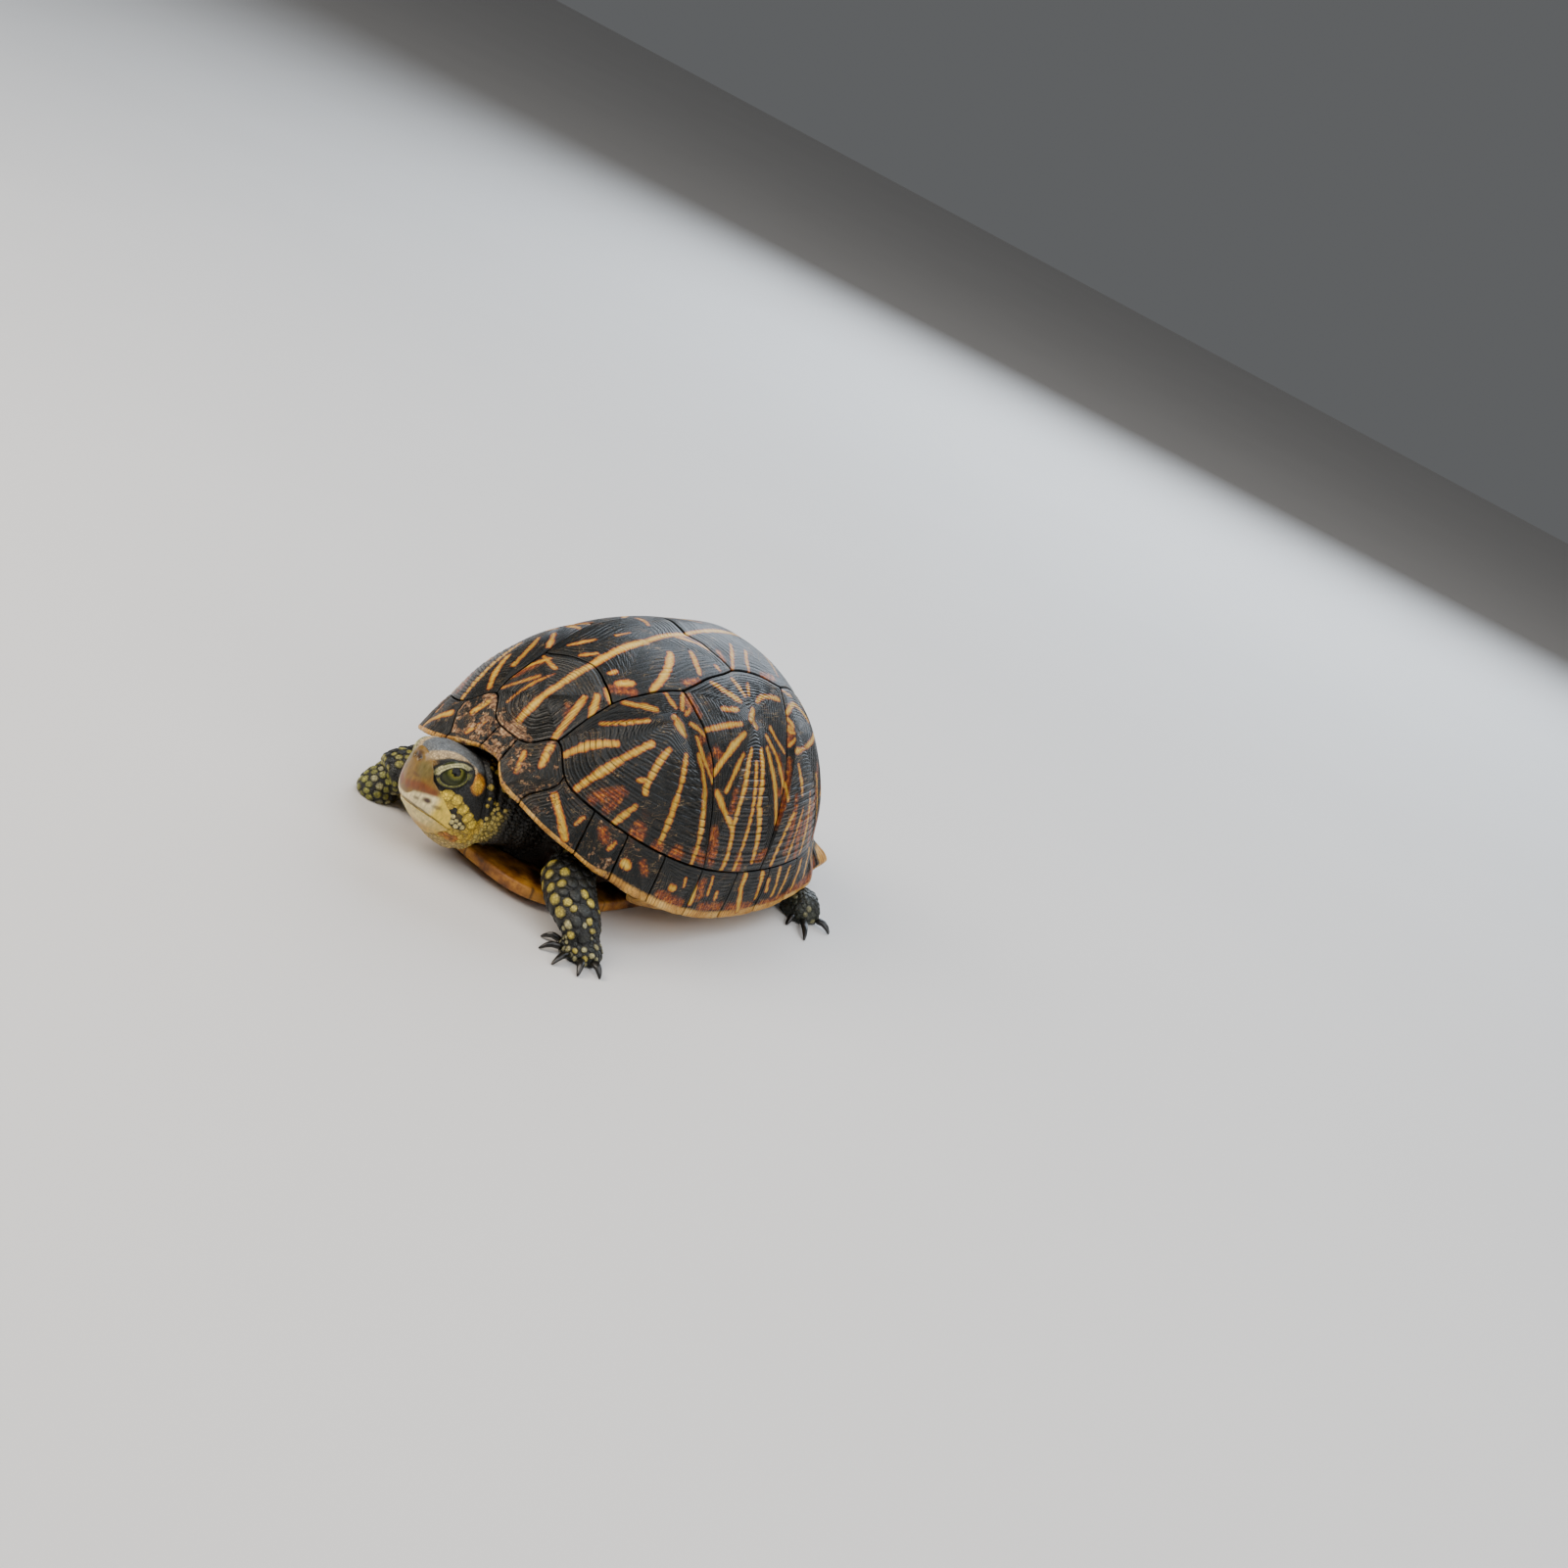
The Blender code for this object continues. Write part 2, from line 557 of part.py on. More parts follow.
def build_foot(name, centre, heading, half_length, half_width, height, claws, collection):
    turn = math.radians(heading)
    rings = []
    for share, lift in FOOT_RINGS:
        ring = []
        for k in range(FOOT_FACETS):
            angle = 2 * math.pi * k / FOOT_FACETS
            reach = share * foot_reach(angle, half_length, half_width, claws)
            ring.append(Vector((centre[0] + reach * math.cos(turn + angle),
                                centre[1] + reach * math.sin(turn + angle), height * lift)))
        rings.append(ring)
    top = Vector((centre[0], centre[1], height))
    under = Vector((centre[0], centre[1], 0.0))
    return add_object(name, ring_body(rings, top, under), "skin", collection)


CLAW_ROOT = -1.4               # a claw starts this far inside its toe
# share of the claw's length, height of its middle and half its thickness
CLAW_SECTIONS = [(0.0, 2.0, 1.15), (0.30, 2.35, 1.2), (0.52, 2.3, 1.05), (0.78, 1.45, 0.7),
                 (0.97, 0.35, 0.24)]


def claw_path(centre, heading, angle, reach, length):
    """A claw's curve: out of the toe, level at first and then down to the floor."""
    turn = math.radians(heading) + angle
    rows = []
    for share, height, half in CLAW_SECTIONS:
        distance = reach + CLAW_ROOT + (length - CLAW_ROOT) * share
        rows.append((centre[0] + distance * math.cos(turn), centre[1] + distance * math.sin(turn),
                     height, half, half))
    return rows


def build_legs(collection, cutters, trunk):
    legs = {"forefoot_left": LEFT_FORELEG, "forefoot_right": RIGHT_FORELEG,
            "hindfoot_left": LEFT_HINDLEG, "hindfoot_right": RIGHT_HINDLEG}
    for name, centre, heading, half_length, half_width, height, claws in FEET:
        path = legs[name]
        foot = build_foot(name, centre, heading, half_length, half_width, height, claws,
                          collection)
        pocket(trunk, path[:4], cutters)
        pocket(foot, path, cutters)
        add_object(name.replace("foot", "leg"), limb(path), "skin", collection)
        for number, (toe, length) in enumerate(claws, start=1):
            angle = math.radians(toe)
            reach = foot_reach(angle, half_length, half_width, claws)
            rows = claw_path(centre, heading, angle, reach, length)
            claw_name = name.replace("foot", "claw") + f"_{number}"
            pocket(foot, rows, cutters, around=6, floor=0.0)
            add_object(claw_name, limb(rows, around=6, floor=0.0), "claw", collection)


# ---- head ------------------------------------------------------------------------------
# ahead of the head's centre, half width, top, bottom, how square the jaw and the crown are
HEAD_SECTIONS = [(-10.0, 12.0, 10.4, -12.6, 2.0, 2.0), (-7.5, 12.5, 11.1, -15.0, 2.0, 2.0),
                 (-5.0, 12.8, 11.7, -16.6, 2.1, 2.1), (0.0, 12.4, 12.4, -14.8, 2.1, 2.4),
                 (4.0, 10.9, 12.7, -12.6, 2.2, 2.7), (7.5, 9.2, 12.4, -9.9, 2.3, 2.7),
                 (10.2, 7.3, 11.4, -7.6, 2.3, 2.5), (12.2, 5.2, 9.0, -5.2, 2.2, 2.3),
                 (13.2, 3.0, 5.6, -2.6, 2.0, 2.0)]
HEAD_FACETS = 22


def head_matrix():
    """Head frame: x ahead, y to its left, z up."""
    yaw = Matrix.Rotation(HEAD_YAW - math.pi / 2, 4, "Z")
    pitch = Matrix.Rotation(HEAD_PITCH, 4, "Y")
    roll = Matrix.Rotation(HEAD_ROLL, 4, "X")
    return Matrix.Translation(HEAD_CENTRE) @ yaw @ pitch @ roll


def head_form(grow=0.0):
    rings = []
    for ahead, half, top, bottom, jaw_power, crown_power in HEAD_SECTIONS:
        ring = []
        for k in range(HEAD_FACETS):
            turn = 2 * math.pi * k / HEAD_FACETS
            c, s = math.cos(turn), math.sin(turn)
            power = crown_power if s > 0 else jaw_power
            reach = (abs(c) ** power + abs(s) ** power) ** (-1 / power)
            height = (top if s > 0 else -bottom) + grow
            ring.append(Vector((ahead, (half + grow) * reach * c, height * reach * s)))
        rings.append(ring)
    first = mean(rings[0])
    last = mean(rings[-1]) + Vector((0.6 + grow, 0, 0))
    bm = ring_body(rings, first, last)
    bmesh.ops.transform(bm, matrix=head_matrix(), verts=bm.verts)
    return bm


def wedge(corners, half_width):
    """A cutter in the head frame: a flat outline in x and z, taken across the head."""
    bm = bmesh.new()
    low = [bm.verts.new((x, -half_width, z)) for x, z in corners]
    face = bm.faces.new(low)
    made = bmesh.ops.extrude_face_region(bm, geom=[face])
    moved = [v for v in made["geom"] if isinstance(v, bmesh.types.BMVert)]
    bmesh.ops.translate(bm, vec=(0, 2 * half_width, 0), verts=moved)
    bmesh.ops.recalc_face_normals(bm, faces=bm.faces)
    bmesh.ops.transform(bm, matrix=head_matrix(), verts=bm.verts)
    return bm


MOUTH_CORNER = (0.4, -8.4)           # ahead and above, in the head frame
MOUTH_MIDDLE = (6.5, -6.5)
MOUTH_FRONT = (22.0, -3.2)
BEAK_TOP = (11.4, 10.9)              # where the upper beak meets the skin of the snout
BEAK_SIDE = (9.6, 3.4)
CHEEK = (2.8, -3.4)
CHIN_BACK = (4.5, -18.0)
CUT_AHEAD = 26.0                     # the snout's cutters reach past the head on every side
CUT_ABOVE = 16.0
CUT_BELOW = -18.0
CUT_ASIDE = 20.0


def inset_outline(outline, inset):
    """Move every side of a flat outline in by inset."""
    count = len(outline)
    area = sum(outline[i][0] * outline[(i + 1) % count][1]
               - outline[(i + 1) % count][0] * outline[i][1] for i in range(count))
    sign = math.copysign(1.0, area)
    moved = []
    for i, corner in enumerate(outline):
        here = Vector(corner)
        run_in = (here - Vector(outline[i - 1])).normalized()
        run_out = (Vector(outline[(i + 1) % count]) - here).normalized()
        normal_in = Vector((-run_in.y, run_in.x)) * sign
        normal_out = Vector((-run_out.y, run_out.x)) * sign
        bisector = (normal_in + normal_out).normalized()
        moved.append(here + bisector * (inset / max(0.3, bisector.dot(normal_in))))
    return moved


def outline_cutter(outline, inset, name, cutters):
    cutter = add_object(name, wedge(inset_outline(outline, inset), CUT_ASIDE), "beak", cutters)
    hide_cutter(cutter)
    return cutter


def build_head(collection, cutters):
    head = add_object("head", head_form(), "skin", collection)
    upper = add_object("upper_beak", head_form(), "beak", collection)
    lower = add_object("lower_beak", head_form(), "beak", collection)
    half = GAP / 2
    above, below = (CUT_AHEAD, CUT_ABOVE), (CUT_AHEAD, CUT_BELOW)
    upper_outline = [MOUTH_CORNER, MOUTH_MIDDLE, MOUTH_FRONT, above, BEAK_TOP, BEAK_SIDE, CHEEK]
    lower_outline = [MOUTH_CORNER, CHIN_BACK, below, MOUTH_FRONT, MOUTH_MIDDLE]
    both = [MOUTH_CORNER, CHIN_BACK, below, above, BEAK_TOP, BEAK_SIDE, CHEEK]

    cut(head, outline_cutter(both, -half, "cutter_snout", cutters), "snout")
    for item, outline in ((upper, upper_outline), (lower, lower_outline)):
        keep = item.modifiers.new("keep", "BOOLEAN")
        keep.operation = "INTERSECT"
        keep.solver = "EXACT"
        keep.object = outline_cutter(outline, half, f"cutter_{item.name}", cutters)
    pocket(head, NECK, cutters, around=20)
    for side, sign in (("left", 1), ("right", -1)):
        place = head_matrix() @ Vector((EYE_PLACE[0], EYE_PLACE[1] * sign, EYE_PLACE[2]))
        for name, radius, finish, where in (
                (f"cutter_eye_{side}", EYE_RADIUS + GAP, "eye", cutters),
                (f"eye_{side}", EYE_RADIUS, "eye", collection)):
            bm = bmesh.new()
            bmesh.ops.create_uvsphere(bm, u_segments=14, v_segments=9, radius=radius)
            bmesh.ops.translate(bm, vec=place, verts=bm.verts)
            ball = add_object(name, bm, finish, where)
            if where is cutters:
                hide_cutter(ball)
                cut(head, ball, side)
                cut(upper, ball, side)


def main():
    clear_scene()
    turtle = new_collection("box_turtle")
    cutters = new_collection("cutters")
    build_dome(turtle)
    build_rim(turtle)
    plastron_lobe("plastron_front", -1, turtle)
    plastron_lobe("plastron_rear", 1, turtle)
    trunk = build_trunk(turtle)
    build_legs(turtle, cutters, trunk)
    build_head(turtle, cutters)
    pocket(trunk, NECK, cutters, around=20)
    add_object("neck", limb(NECK, around=20), "skin", turtle)
    pocket(trunk, TAIL[:3], cutters)
    add_object("tail", limb(TAIL), "skin", turtle)


main()
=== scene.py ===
# %% [markdown]
# # A Florida box turtle, still and life size
#
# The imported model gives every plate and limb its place.  This lesson puts the horn, the skin
# and the scales on it.  Lengths are in millimetres until a mesh is written, because a turtle
# is easier to think about in millimetres; `MM` turns them into Blender's metres.

# %% Load the frame
import itertools
import math

import bpy
import numpy as np
from mathutils import Matrix, Vector
from mathutils.bvhtree import BVHTree
from mathutils.kdtree import KDTree


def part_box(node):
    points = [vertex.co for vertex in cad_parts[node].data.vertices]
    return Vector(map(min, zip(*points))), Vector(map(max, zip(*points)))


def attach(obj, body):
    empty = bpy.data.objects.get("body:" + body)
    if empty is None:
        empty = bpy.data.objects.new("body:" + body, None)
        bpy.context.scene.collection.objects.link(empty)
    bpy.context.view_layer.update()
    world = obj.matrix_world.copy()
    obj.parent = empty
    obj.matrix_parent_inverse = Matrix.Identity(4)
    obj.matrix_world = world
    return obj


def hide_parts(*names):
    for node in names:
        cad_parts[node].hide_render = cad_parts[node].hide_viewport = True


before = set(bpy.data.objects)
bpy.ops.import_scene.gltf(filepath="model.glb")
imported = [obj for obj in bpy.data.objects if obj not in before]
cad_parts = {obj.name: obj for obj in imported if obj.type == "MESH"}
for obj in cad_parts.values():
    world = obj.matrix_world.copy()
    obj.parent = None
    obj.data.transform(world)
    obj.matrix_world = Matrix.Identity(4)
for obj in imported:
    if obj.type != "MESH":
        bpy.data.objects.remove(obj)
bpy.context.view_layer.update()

MM = 0.001
BODY = "root"

# %% [markdown]
# ## Camera
#
# The turtle is seen from its front left and a little above, and the camera is rolled, so
# that the floor slopes down to the right.  A target, two angles and a distance are easier
# to change than a raw position.

# %% The camera
CAMERA_TARGET = Vector((49.4, 0.0, 53.5)) * MM
CAMERA_AZIMUTH = math.radians(28.45)
CAMERA_ELEVATION = math.radians(19.85)
CAMERA_ROLL = math.radians(26.25)
CAMERA_DISTANCE = 563.5 * MM
LENS = 45.78
SENSOR = 36.0


def direction(azimuth, elevation):
    """Unit vector from the target to a viewer; azimuth 0 looks along +Y."""
    return Vector((math.sin(azimuth) * math.cos(elevation),
                   -math.cos(azimuth) * math.cos(elevation), math.sin(elevation)))


bpy.ops.object.select_all(action="DESELECT")
bpy.ops.object.camera_add(location=CAMERA_TARGET
                          + direction(CAMERA_AZIMUTH, CAMERA_ELEVATION) * CAMERA_DISTANCE)
camera = bpy.context.object
camera.name = "camera"
level = (Matrix.Rotation(CAMERA_AZIMUTH, 3, "Z")
         @ Matrix.Rotation(math.pi / 2 - CAMERA_ELEVATION, 3, "X"))
camera.rotation_euler = (level @ Matrix.Rotation(CAMERA_ROLL, 3, "Z")).to_euler()
camera.data.lens = LENS
camera.data.sensor_width = SENSOR
camera.data.clip_start = 0.01
bpy.context.scene.camera = camera
print("camera at", [round(v, 3) for v in camera.location])

# %% [markdown]
# ## Materials: the helpers
#
# Colours are written as they are read on a screen, in sRGB hex.  Blender's shaders work in
# linear light, so one function converts them.  A second adds any shader node, sets it up,
# feeds its inputs and hands back one of its outputs, so that a material reads like a recipe.
# Two short ones start a material and link what was made to its shader.

# %% Colour and node helpers
def linear(colour):
    """An sRGB hex colour as linear RGBA."""
    parts = [int(colour[i:i + 2], 16) / 255 for i in (1, 3, 5)]
    return [c / 12.92 if c <= 0.04045 else ((c + 0.055) / 1.055) ** 2.4 for c in parts] + [1.0]


def node(material, kind, inputs=(), output=0, stops=None, **settings):
    """Add a shader node and return one of its outputs.

    inputs gives sockets, in their order or by name or number, a value, a hex colour or
    another output; stops are the (place, hex colour) pairs of a colour ramp."""
    tree = material.node_tree
    made = tree.nodes.new("ShaderNode" + kind)
    for name, value in settings.items():
        setattr(made, name, value)
    for name, value in inputs.items() if isinstance(inputs, dict) else enumerate(inputs):
        if isinstance(value, bpy.types.NodeSocket):
            tree.links.new(value, made.inputs[name])
        else:
            made.inputs[name].default_value = linear(value) if isinstance(value, str) else value
    if stops:
        for place, colour in stops[1:-1]:
            made.color_ramp.elements.new(place)
        for element, (place, colour) in zip(made.color_ramp.elements, stops):
            element.position = place
            element.color = linear(colour)
    return made.outputs[output]


def start_material(name, sockets):
    """A Principled material; the sockets are constants set on the shader itself."""
    material = bpy.data.materials.new(name)
    material.use_nodes = True
    shader = material.node_tree.nodes["Principled BSDF"]
    for socket, value in sockets.items():
        shader.inputs[socket].default_value = linear(value) if isinstance(value, str) else value
    return material


def feed(material, socket, source):
    """Link an output to a socket of the material's shader."""
    shader = material.node_tree.nodes["Principled BSDF"]
    material.node_tree.links.new(source, shader.inputs[socket])


print("material helpers ready")

# %% [markdown]
# ## Floor and light
#
# A model on a museum table: a plain pale floor, and light from big soft boxes.  The largest
# stands behind the turtle and is a little blue, because what makes horn look glossy is a
# broad pale reflection along its back.  A warmer one stands behind the camera on the left.

# %% Floor
FLOOR_SIZE = 6.0
bpy.ops.mesh.primitive_plane_add(size=FLOOR_SIZE, location=(0, 0, 0))
floor = bpy.context.object
floor.name = "floor"
floor_paint = start_material("pale matt floor paint", {"Roughness": 0.9})
feed(floor_paint, "Base Color",
     node(floor_paint, "ValToRGB",
          {"Fac": node(floor_paint, "TexNoise", {"Scale": 40.0, "Detail": 3.0})},
          stops=[(0.0, "#d2cfcc"), (1.0, "#d8d5d2")]))
floor.data.materials.append(floor_paint)

# %% Lights
# name, azimuth and elevation in degrees, distance in metres, size, watts, colour
LIGHTS = [
    ("overhead softbox", 62, 64, 1.1, 1.2, 12.0, "#f2f4f6"),
    ("key softbox", -38, 42, 1.0, 0.6, 9.5, "#fff4e6"),
    ("fill softbox", 95, 26, 1.2, 0.8, 4.5, "#f4f2f0"),
    ("back softbox", 196, 35, 1.3, 1.2, 24.0, "#dce8f5"),
]
for name, azimuth, elevation, distance, size, watts, colour in LIGHTS:
    toward = direction(math.radians(azimuth), math.radians(elevation))
    bpy.ops.object.light_add(type="AREA", location=toward * distance)
    lamp = bpy.context.object
    lamp.name = name
    lamp.rotation_euler = toward.to_track_quat("Z", "Y").to_euler()
    lamp.data.size = size
    lamp.data.energy = watts
    lamp.data.color = linear(colour)[:3]
ROOM_LIGHT = 0.15  # what the room's walls send back
world = bpy.data.worlds.new("studio")
world.use_nodes = True
background = world.node_tree.nodes["Background"]
background.inputs["Color"].default_value = linear("#e6e9ec")
background.inputs["Strength"].default_value = ROOM_LIGHT
bpy.context.scene.world = world
print("lights:", [row[0] for row in LIGHTS])

# %% [markdown]
# ## The dome as a map
#
# The shell is drawn on a flat disk and then domed: a point (p, q) of the disk has p ahead
# and q to the left, and the rim is the unit circle.  Every scute, growth ring and colour ray
# can then be drawn flat, which is much easier, and `dome` lifts it onto the shell.  The
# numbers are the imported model's.  NumPy lifts thousands of points at once.

# %% The dome
FRONT_REACH, REAR_REACH = 66.0, 68.0
SHELL_WIDTH, SHELL_HEIGHT = 98.0, 75.0
APEX_BACK = 10.6
PITCH = math.radians(3.8)
RIM_SIDE, RIM_FRONT, RIM_REAR = 7.5, 29.0, 19.0
PLAN_POWER, DOME_POWER = 2.6, 1.06
FRONT_FLARE, REAR_FLARE = 5.0, 5.5
FLARE_FROM = 0.8  # share of the way to the rim where the edge starts to flare
EGG = 0.06  # how much narrower the shell is ahead than behind
REAR_SHARPNESS = 1.6
PLATE = 2.6  # thickness of a plate


def unit(vectors):
    """The same directions, one long."""
    return vectors / np.maximum(np.linalg.norm(vectors, axis=-1, keepdims=True), 1e-9)


def ease(low, high, value):
    """0 up to low, 1 from high on, and a smooth rise between; low may be the larger."""
    share = np.clip((value - low) / (high - low), 0.0, 1.0)
    return share * share * (3 - 2 * share)


def dome(p, q):
    """Points of the shell's outer surface, in millimetres."""
    rho = np.minimum(np.hypot(p, q), 1.0)
    angle = np.arctan2(q, p)
    ahead, aside = np.cos(angle), np.sin(angle)
    front, rear = np.maximum(ahead, 0.0) ** 2, np.maximum(-ahead, 0.0) ** REAR_SHARPNESS
    reach = (np.abs(ahead) ** PLAN_POWER + np.abs(aside) ** PLAN_POWER) ** (-1 / PLAN_POWER)
    spread = np.sin(rho * math.pi / 2) ** DOME_POWER
    rise = np.maximum(np.cos(rho * math.pi / 2), 0.0)
    flare = np.maximum(0.0, (rho - FLARE_FROM) / (1 - FLARE_FROM)) ** 2
    flare *= FRONT_FLARE * front + REAR_FLARE * rear
    left = SHELL_WIDTH / 2 * reach * aside * (1 - EGG * ahead) * spread + flare * aside
    half_length = np.where(ahead > 0, FRONT_REACH, REAR_REACH)
    forward = (half_length * reach * ahead + APEX_BACK) * spread - APEX_BACK + flare * ahead
    rim = RIM_SIDE + (RIM_FRONT - RIM_SIDE) * front + (RIM_REAR - RIM_SIDE) * rear
    height = rim + (SHELL_HEIGHT - rim) * rise
    back = -forward * math.cos(PITCH) + height * math.sin(PITCH)
    up = forward * math.sin(PITCH) + height * math.cos(PITCH)
    return np.stack([left, back, up], axis=-1)


def dome_normal(p, q):
    """Outward normals; near the rim they are read a little further in."""
    step = 0.004
    rho = np.maximum(np.hypot(p, q), 1e-9)
    inside = np.minimum(1.0, (1 - 2 * step) / rho)
    p, q = p * inside, q * inside
    along = dome(p + step, q) - dome(p - step, q)
    across = dome(p, q + step) - dome(p, q - step)
    return unit(np.cross(along, across))


def carapace(p, q, lift):
    """Points of the disk on the shell, raised along its normal."""
    return dome(p, q) + dome_normal(p, q) * lift[..., None]


print("dome top, mm:", dome(np.array(0.0), np.array(0.0)).round(1))

# %% [markdown]
# ## One way to make every plate
#
# A plate of horn is a closed slab: its face rises from the seam to the areola, the oldest
# spot, its edge rolls over, and its underside closes it.  A UV sphere has just that shape
# once it is flattened: longitude runs round the plate's outline and latitude from the
# areola out to the seam and back underneath.  So each plate starts as a sphere, and every
# vertex is moved to its place by its longitude and latitude.  It stays closed by itself.

# %% Sphere coordinates and finishing helpers
def select(*items):
    """Select these objects and nothing else; the first one becomes active."""
    bpy.ops.object.select_all(action="DESELECT")
    for item in items:
        item.select_set(True)
    if items:
        bpy.context.view_layer.objects.active = items[0]


def sphere_to_shape(name, segments, rows):
    """A UV sphere and, for each vertex, its segment (0 to segments) and row (0 at the top)."""
    select()
    bpy.ops.mesh.primitive_uv_sphere_add(segments=segments, ring_count=rows, radius=1.0,
                                         calc_uvs=False)
    item = bpy.context.object
    item.name = item.data.name = name
    places = np.empty(len(item.data.vertices) * 3)
    item.data.vertices.foreach_get("co", places)
    places = places.reshape(-1, 3)
    turn = np.arctan2(places[:, 1], places[:, 0]) / (2 * math.pi) % 1.0
    row = np.arccos(np.clip(places[:, 2], -1, 1)) / math.pi * rows
    return item, turn * segments, np.rint(row).astype(int)


def place_vertices(item, points):
    """Move a mesh's vertices to these points, in millimetres."""
    item.data.vertices.foreach_set("co", (points * MM).ravel())
    item.data.update()


def add_attributes(item, **attributes):
    """Store a number for each vertex under each name, for the material to read."""
    for name, values in attributes.items():
        layer = item.data.attributes.new(name, "FLOAT", "POINT")
        numbers = np.zeros(len(item.data.vertices), dtype=np.float32) + values
        layer.data.foreach_set("value", numbers.astype(np.float32))


def face_outward(item):
    """Turn every face outwards and shade it smooth."""
    select(item)
    bpy.ops.object.mode_set(mode="EDIT")
    bpy.ops.mesh.select_all(action="SELECT")
    bpy.ops.mesh.normals_make_consistent(inside=False)
    bpy.ops.object.mode_set(mode="OBJECT")
    bpy.ops.object.shade_smooth()


def finish_piece(item, material, nodes=()):
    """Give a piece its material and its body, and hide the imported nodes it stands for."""
    item.data.materials.clear()
    item.data.materials.append(material)
    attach(item, BODY)
    if nodes:
        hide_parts(*nodes)


def ripple(p, q, scale, seed):
    """Smooth, repeatable unevenness between -1 and 1, made of crossing waves."""
    total = 0.0
    for k in range(4):
        turn = seed * 1.7 + k * 2.4
        pace = scale * (1 + 0.45 * k)
        total = total + np.sin(pace * (p * math.cos(turn) + q * math.sin(turn)) + seed * 3.1 + k)
    return total / 4


print("plate helpers ready")

# %% [markdown]
# ## Outlines and rays on the disk
#
# Outlines run from corner to corner, and where a scute meets the rim they follow the ring on
# which the marginals begin.  A shared ripple makes the seams wander as grown ones do, and as
# both neighbours use it, they still fit.  Colour rays are drawn in each scute's polar map:
# degrees round the areola, 0 ahead and 90 to the left, and the share of the way to the seam.

# %% Corners of the scutes
NUCHAL_HALF = 4.5  # degrees, as are the places of the seams round the rim
M1_PEAK = 16.8
SPUR_SEAM = 141.0  # this seam passes in front of the spur
RIM_SEAMS = [4.5, 25.0, 37.5, 48.5, 61.0, 75.0, 90.0, 104.0, 118.0, 132.0, SPUR_SEAM, 163.0, 180.0]
SEAM = 0.0016  # half the width of a seam, on the unit disk


def ring_edge(degrees):
    """Where the marginals begin; the first one reaches further up the dome."""
    return 0.862 - 0.087 * np.exp(-((np.abs(degrees) - M1_PEAK) / 6.5) ** 2)


def ring(degrees):
    turn = math.radians(degrees)
    return (float(ring_edge(degrees)) * math.cos(turn), float(ring_edge(degrees)) * math.sin(turn))


def whole(corners):
    """A scute across the spine, completed from its left half."""
    return corners + [(p, -q) for p, q in reversed(corners) if q > 1e-6]


NOSE, V1_BACK, V2_BACK, V3_BACK, V4_BACK, RUMP = (ring(NUCHAL_HALF), (0.505, 0.0), (0.17, 0.0),
                                                  (-0.24, 0.0), (-0.56, 0.0), ring(180.0))
C1_TOP, V2_EDGE, C1_BACK, V2_CORNER = (0.524, 0.212), (0.409, 0.231), (0.290, 0.261), (0.082, 0.215)
C2_BACK, V3_CORNER, C3_BACK, V4_CORNER = (-0.15, 0.245), (-0.33, 0.20), (-0.46, 0.22), (-0.58, 0.16)
C1_WAIST = (0.239, 0.49)
C1_FRONT, C1_FOOT, C2_FOOT, C3_FOOT, C4_FOOT = (ring(M1_PEAK), ring(75.0), ring(99.3),
                                                ring(127.0), ring(157.3))
# name: areola, corners, bands of growth, relief in mm
SCUTES = {
    "vertebral_1": ((0.70, 0.0), whole([NOSE, C1_FRONT, C1_TOP, V1_BACK]), 13, 0.42),
    "vertebral_2": ((0.32, 0.0), whole([V1_BACK, C1_TOP, V2_EDGE, C1_BACK, V2_CORNER, V2_BACK]),
                    9, 0.13),
    "vertebral_3": ((-0.05, 0.0), whole([V2_BACK, V2_CORNER, C2_BACK, V3_CORNER, V3_BACK]),
                    9, 0.12),
    "vertebral_4": ((-0.41, 0.0), whole([V3_BACK, V3_CORNER, C3_BACK, V4_CORNER, V4_BACK]),
                    8, 0.18),
    "vertebral_5": ((-0.70, 0.0), whole([V4_BACK, V4_CORNER, C4_FOOT, RUMP]), 9, 0.22),
    "costal_1": ((0.347, 0.353), [C1_FRONT, C1_TOP, V2_EDGE, C1_BACK, C1_WAIST, C1_FOOT],
                 12, 0.42),
    "costal_2": ((0.042, 0.403), [C1_BACK, V2_CORNER, C2_BACK, C2_FOOT, C1_FOOT, C1_WAIST],
                 13, 0.34),
    "costal_3": ((-0.2, 0.40), [C2_BACK, V3_CORNER, C3_BACK, C3_FOOT, C2_FOOT], 12, 0.30),
    "costal_4": ((-0.58, 0.37), [C3_BACK, V4_CORNER, C4_FOOT, C3_FOOT], 10, 0.30),
}
print(len(SCUTES), "kinds of scute")

# %% Outline and polar map
OUTLINE_POINTS = 240
WANDER = 0.0045  # how far a seam strays from its straight line, on the unit disk


def evenly_spaced(line):
    """OUTLINE_POINTS places, equally far apart, along a closed line given by its corners."""
    closed = np.concatenate([line, line[:1]])
    length = np.concatenate([[0], np.cumsum(np.linalg.norm(np.diff(closed, axis=0), axis=1))])
    even = np.linspace(0, length[-1], OUTLINE_POINTS, endpoint=False)
    return np.stack([np.interp(even, length, closed[:, k]) for k in (0, 1)], axis=1)


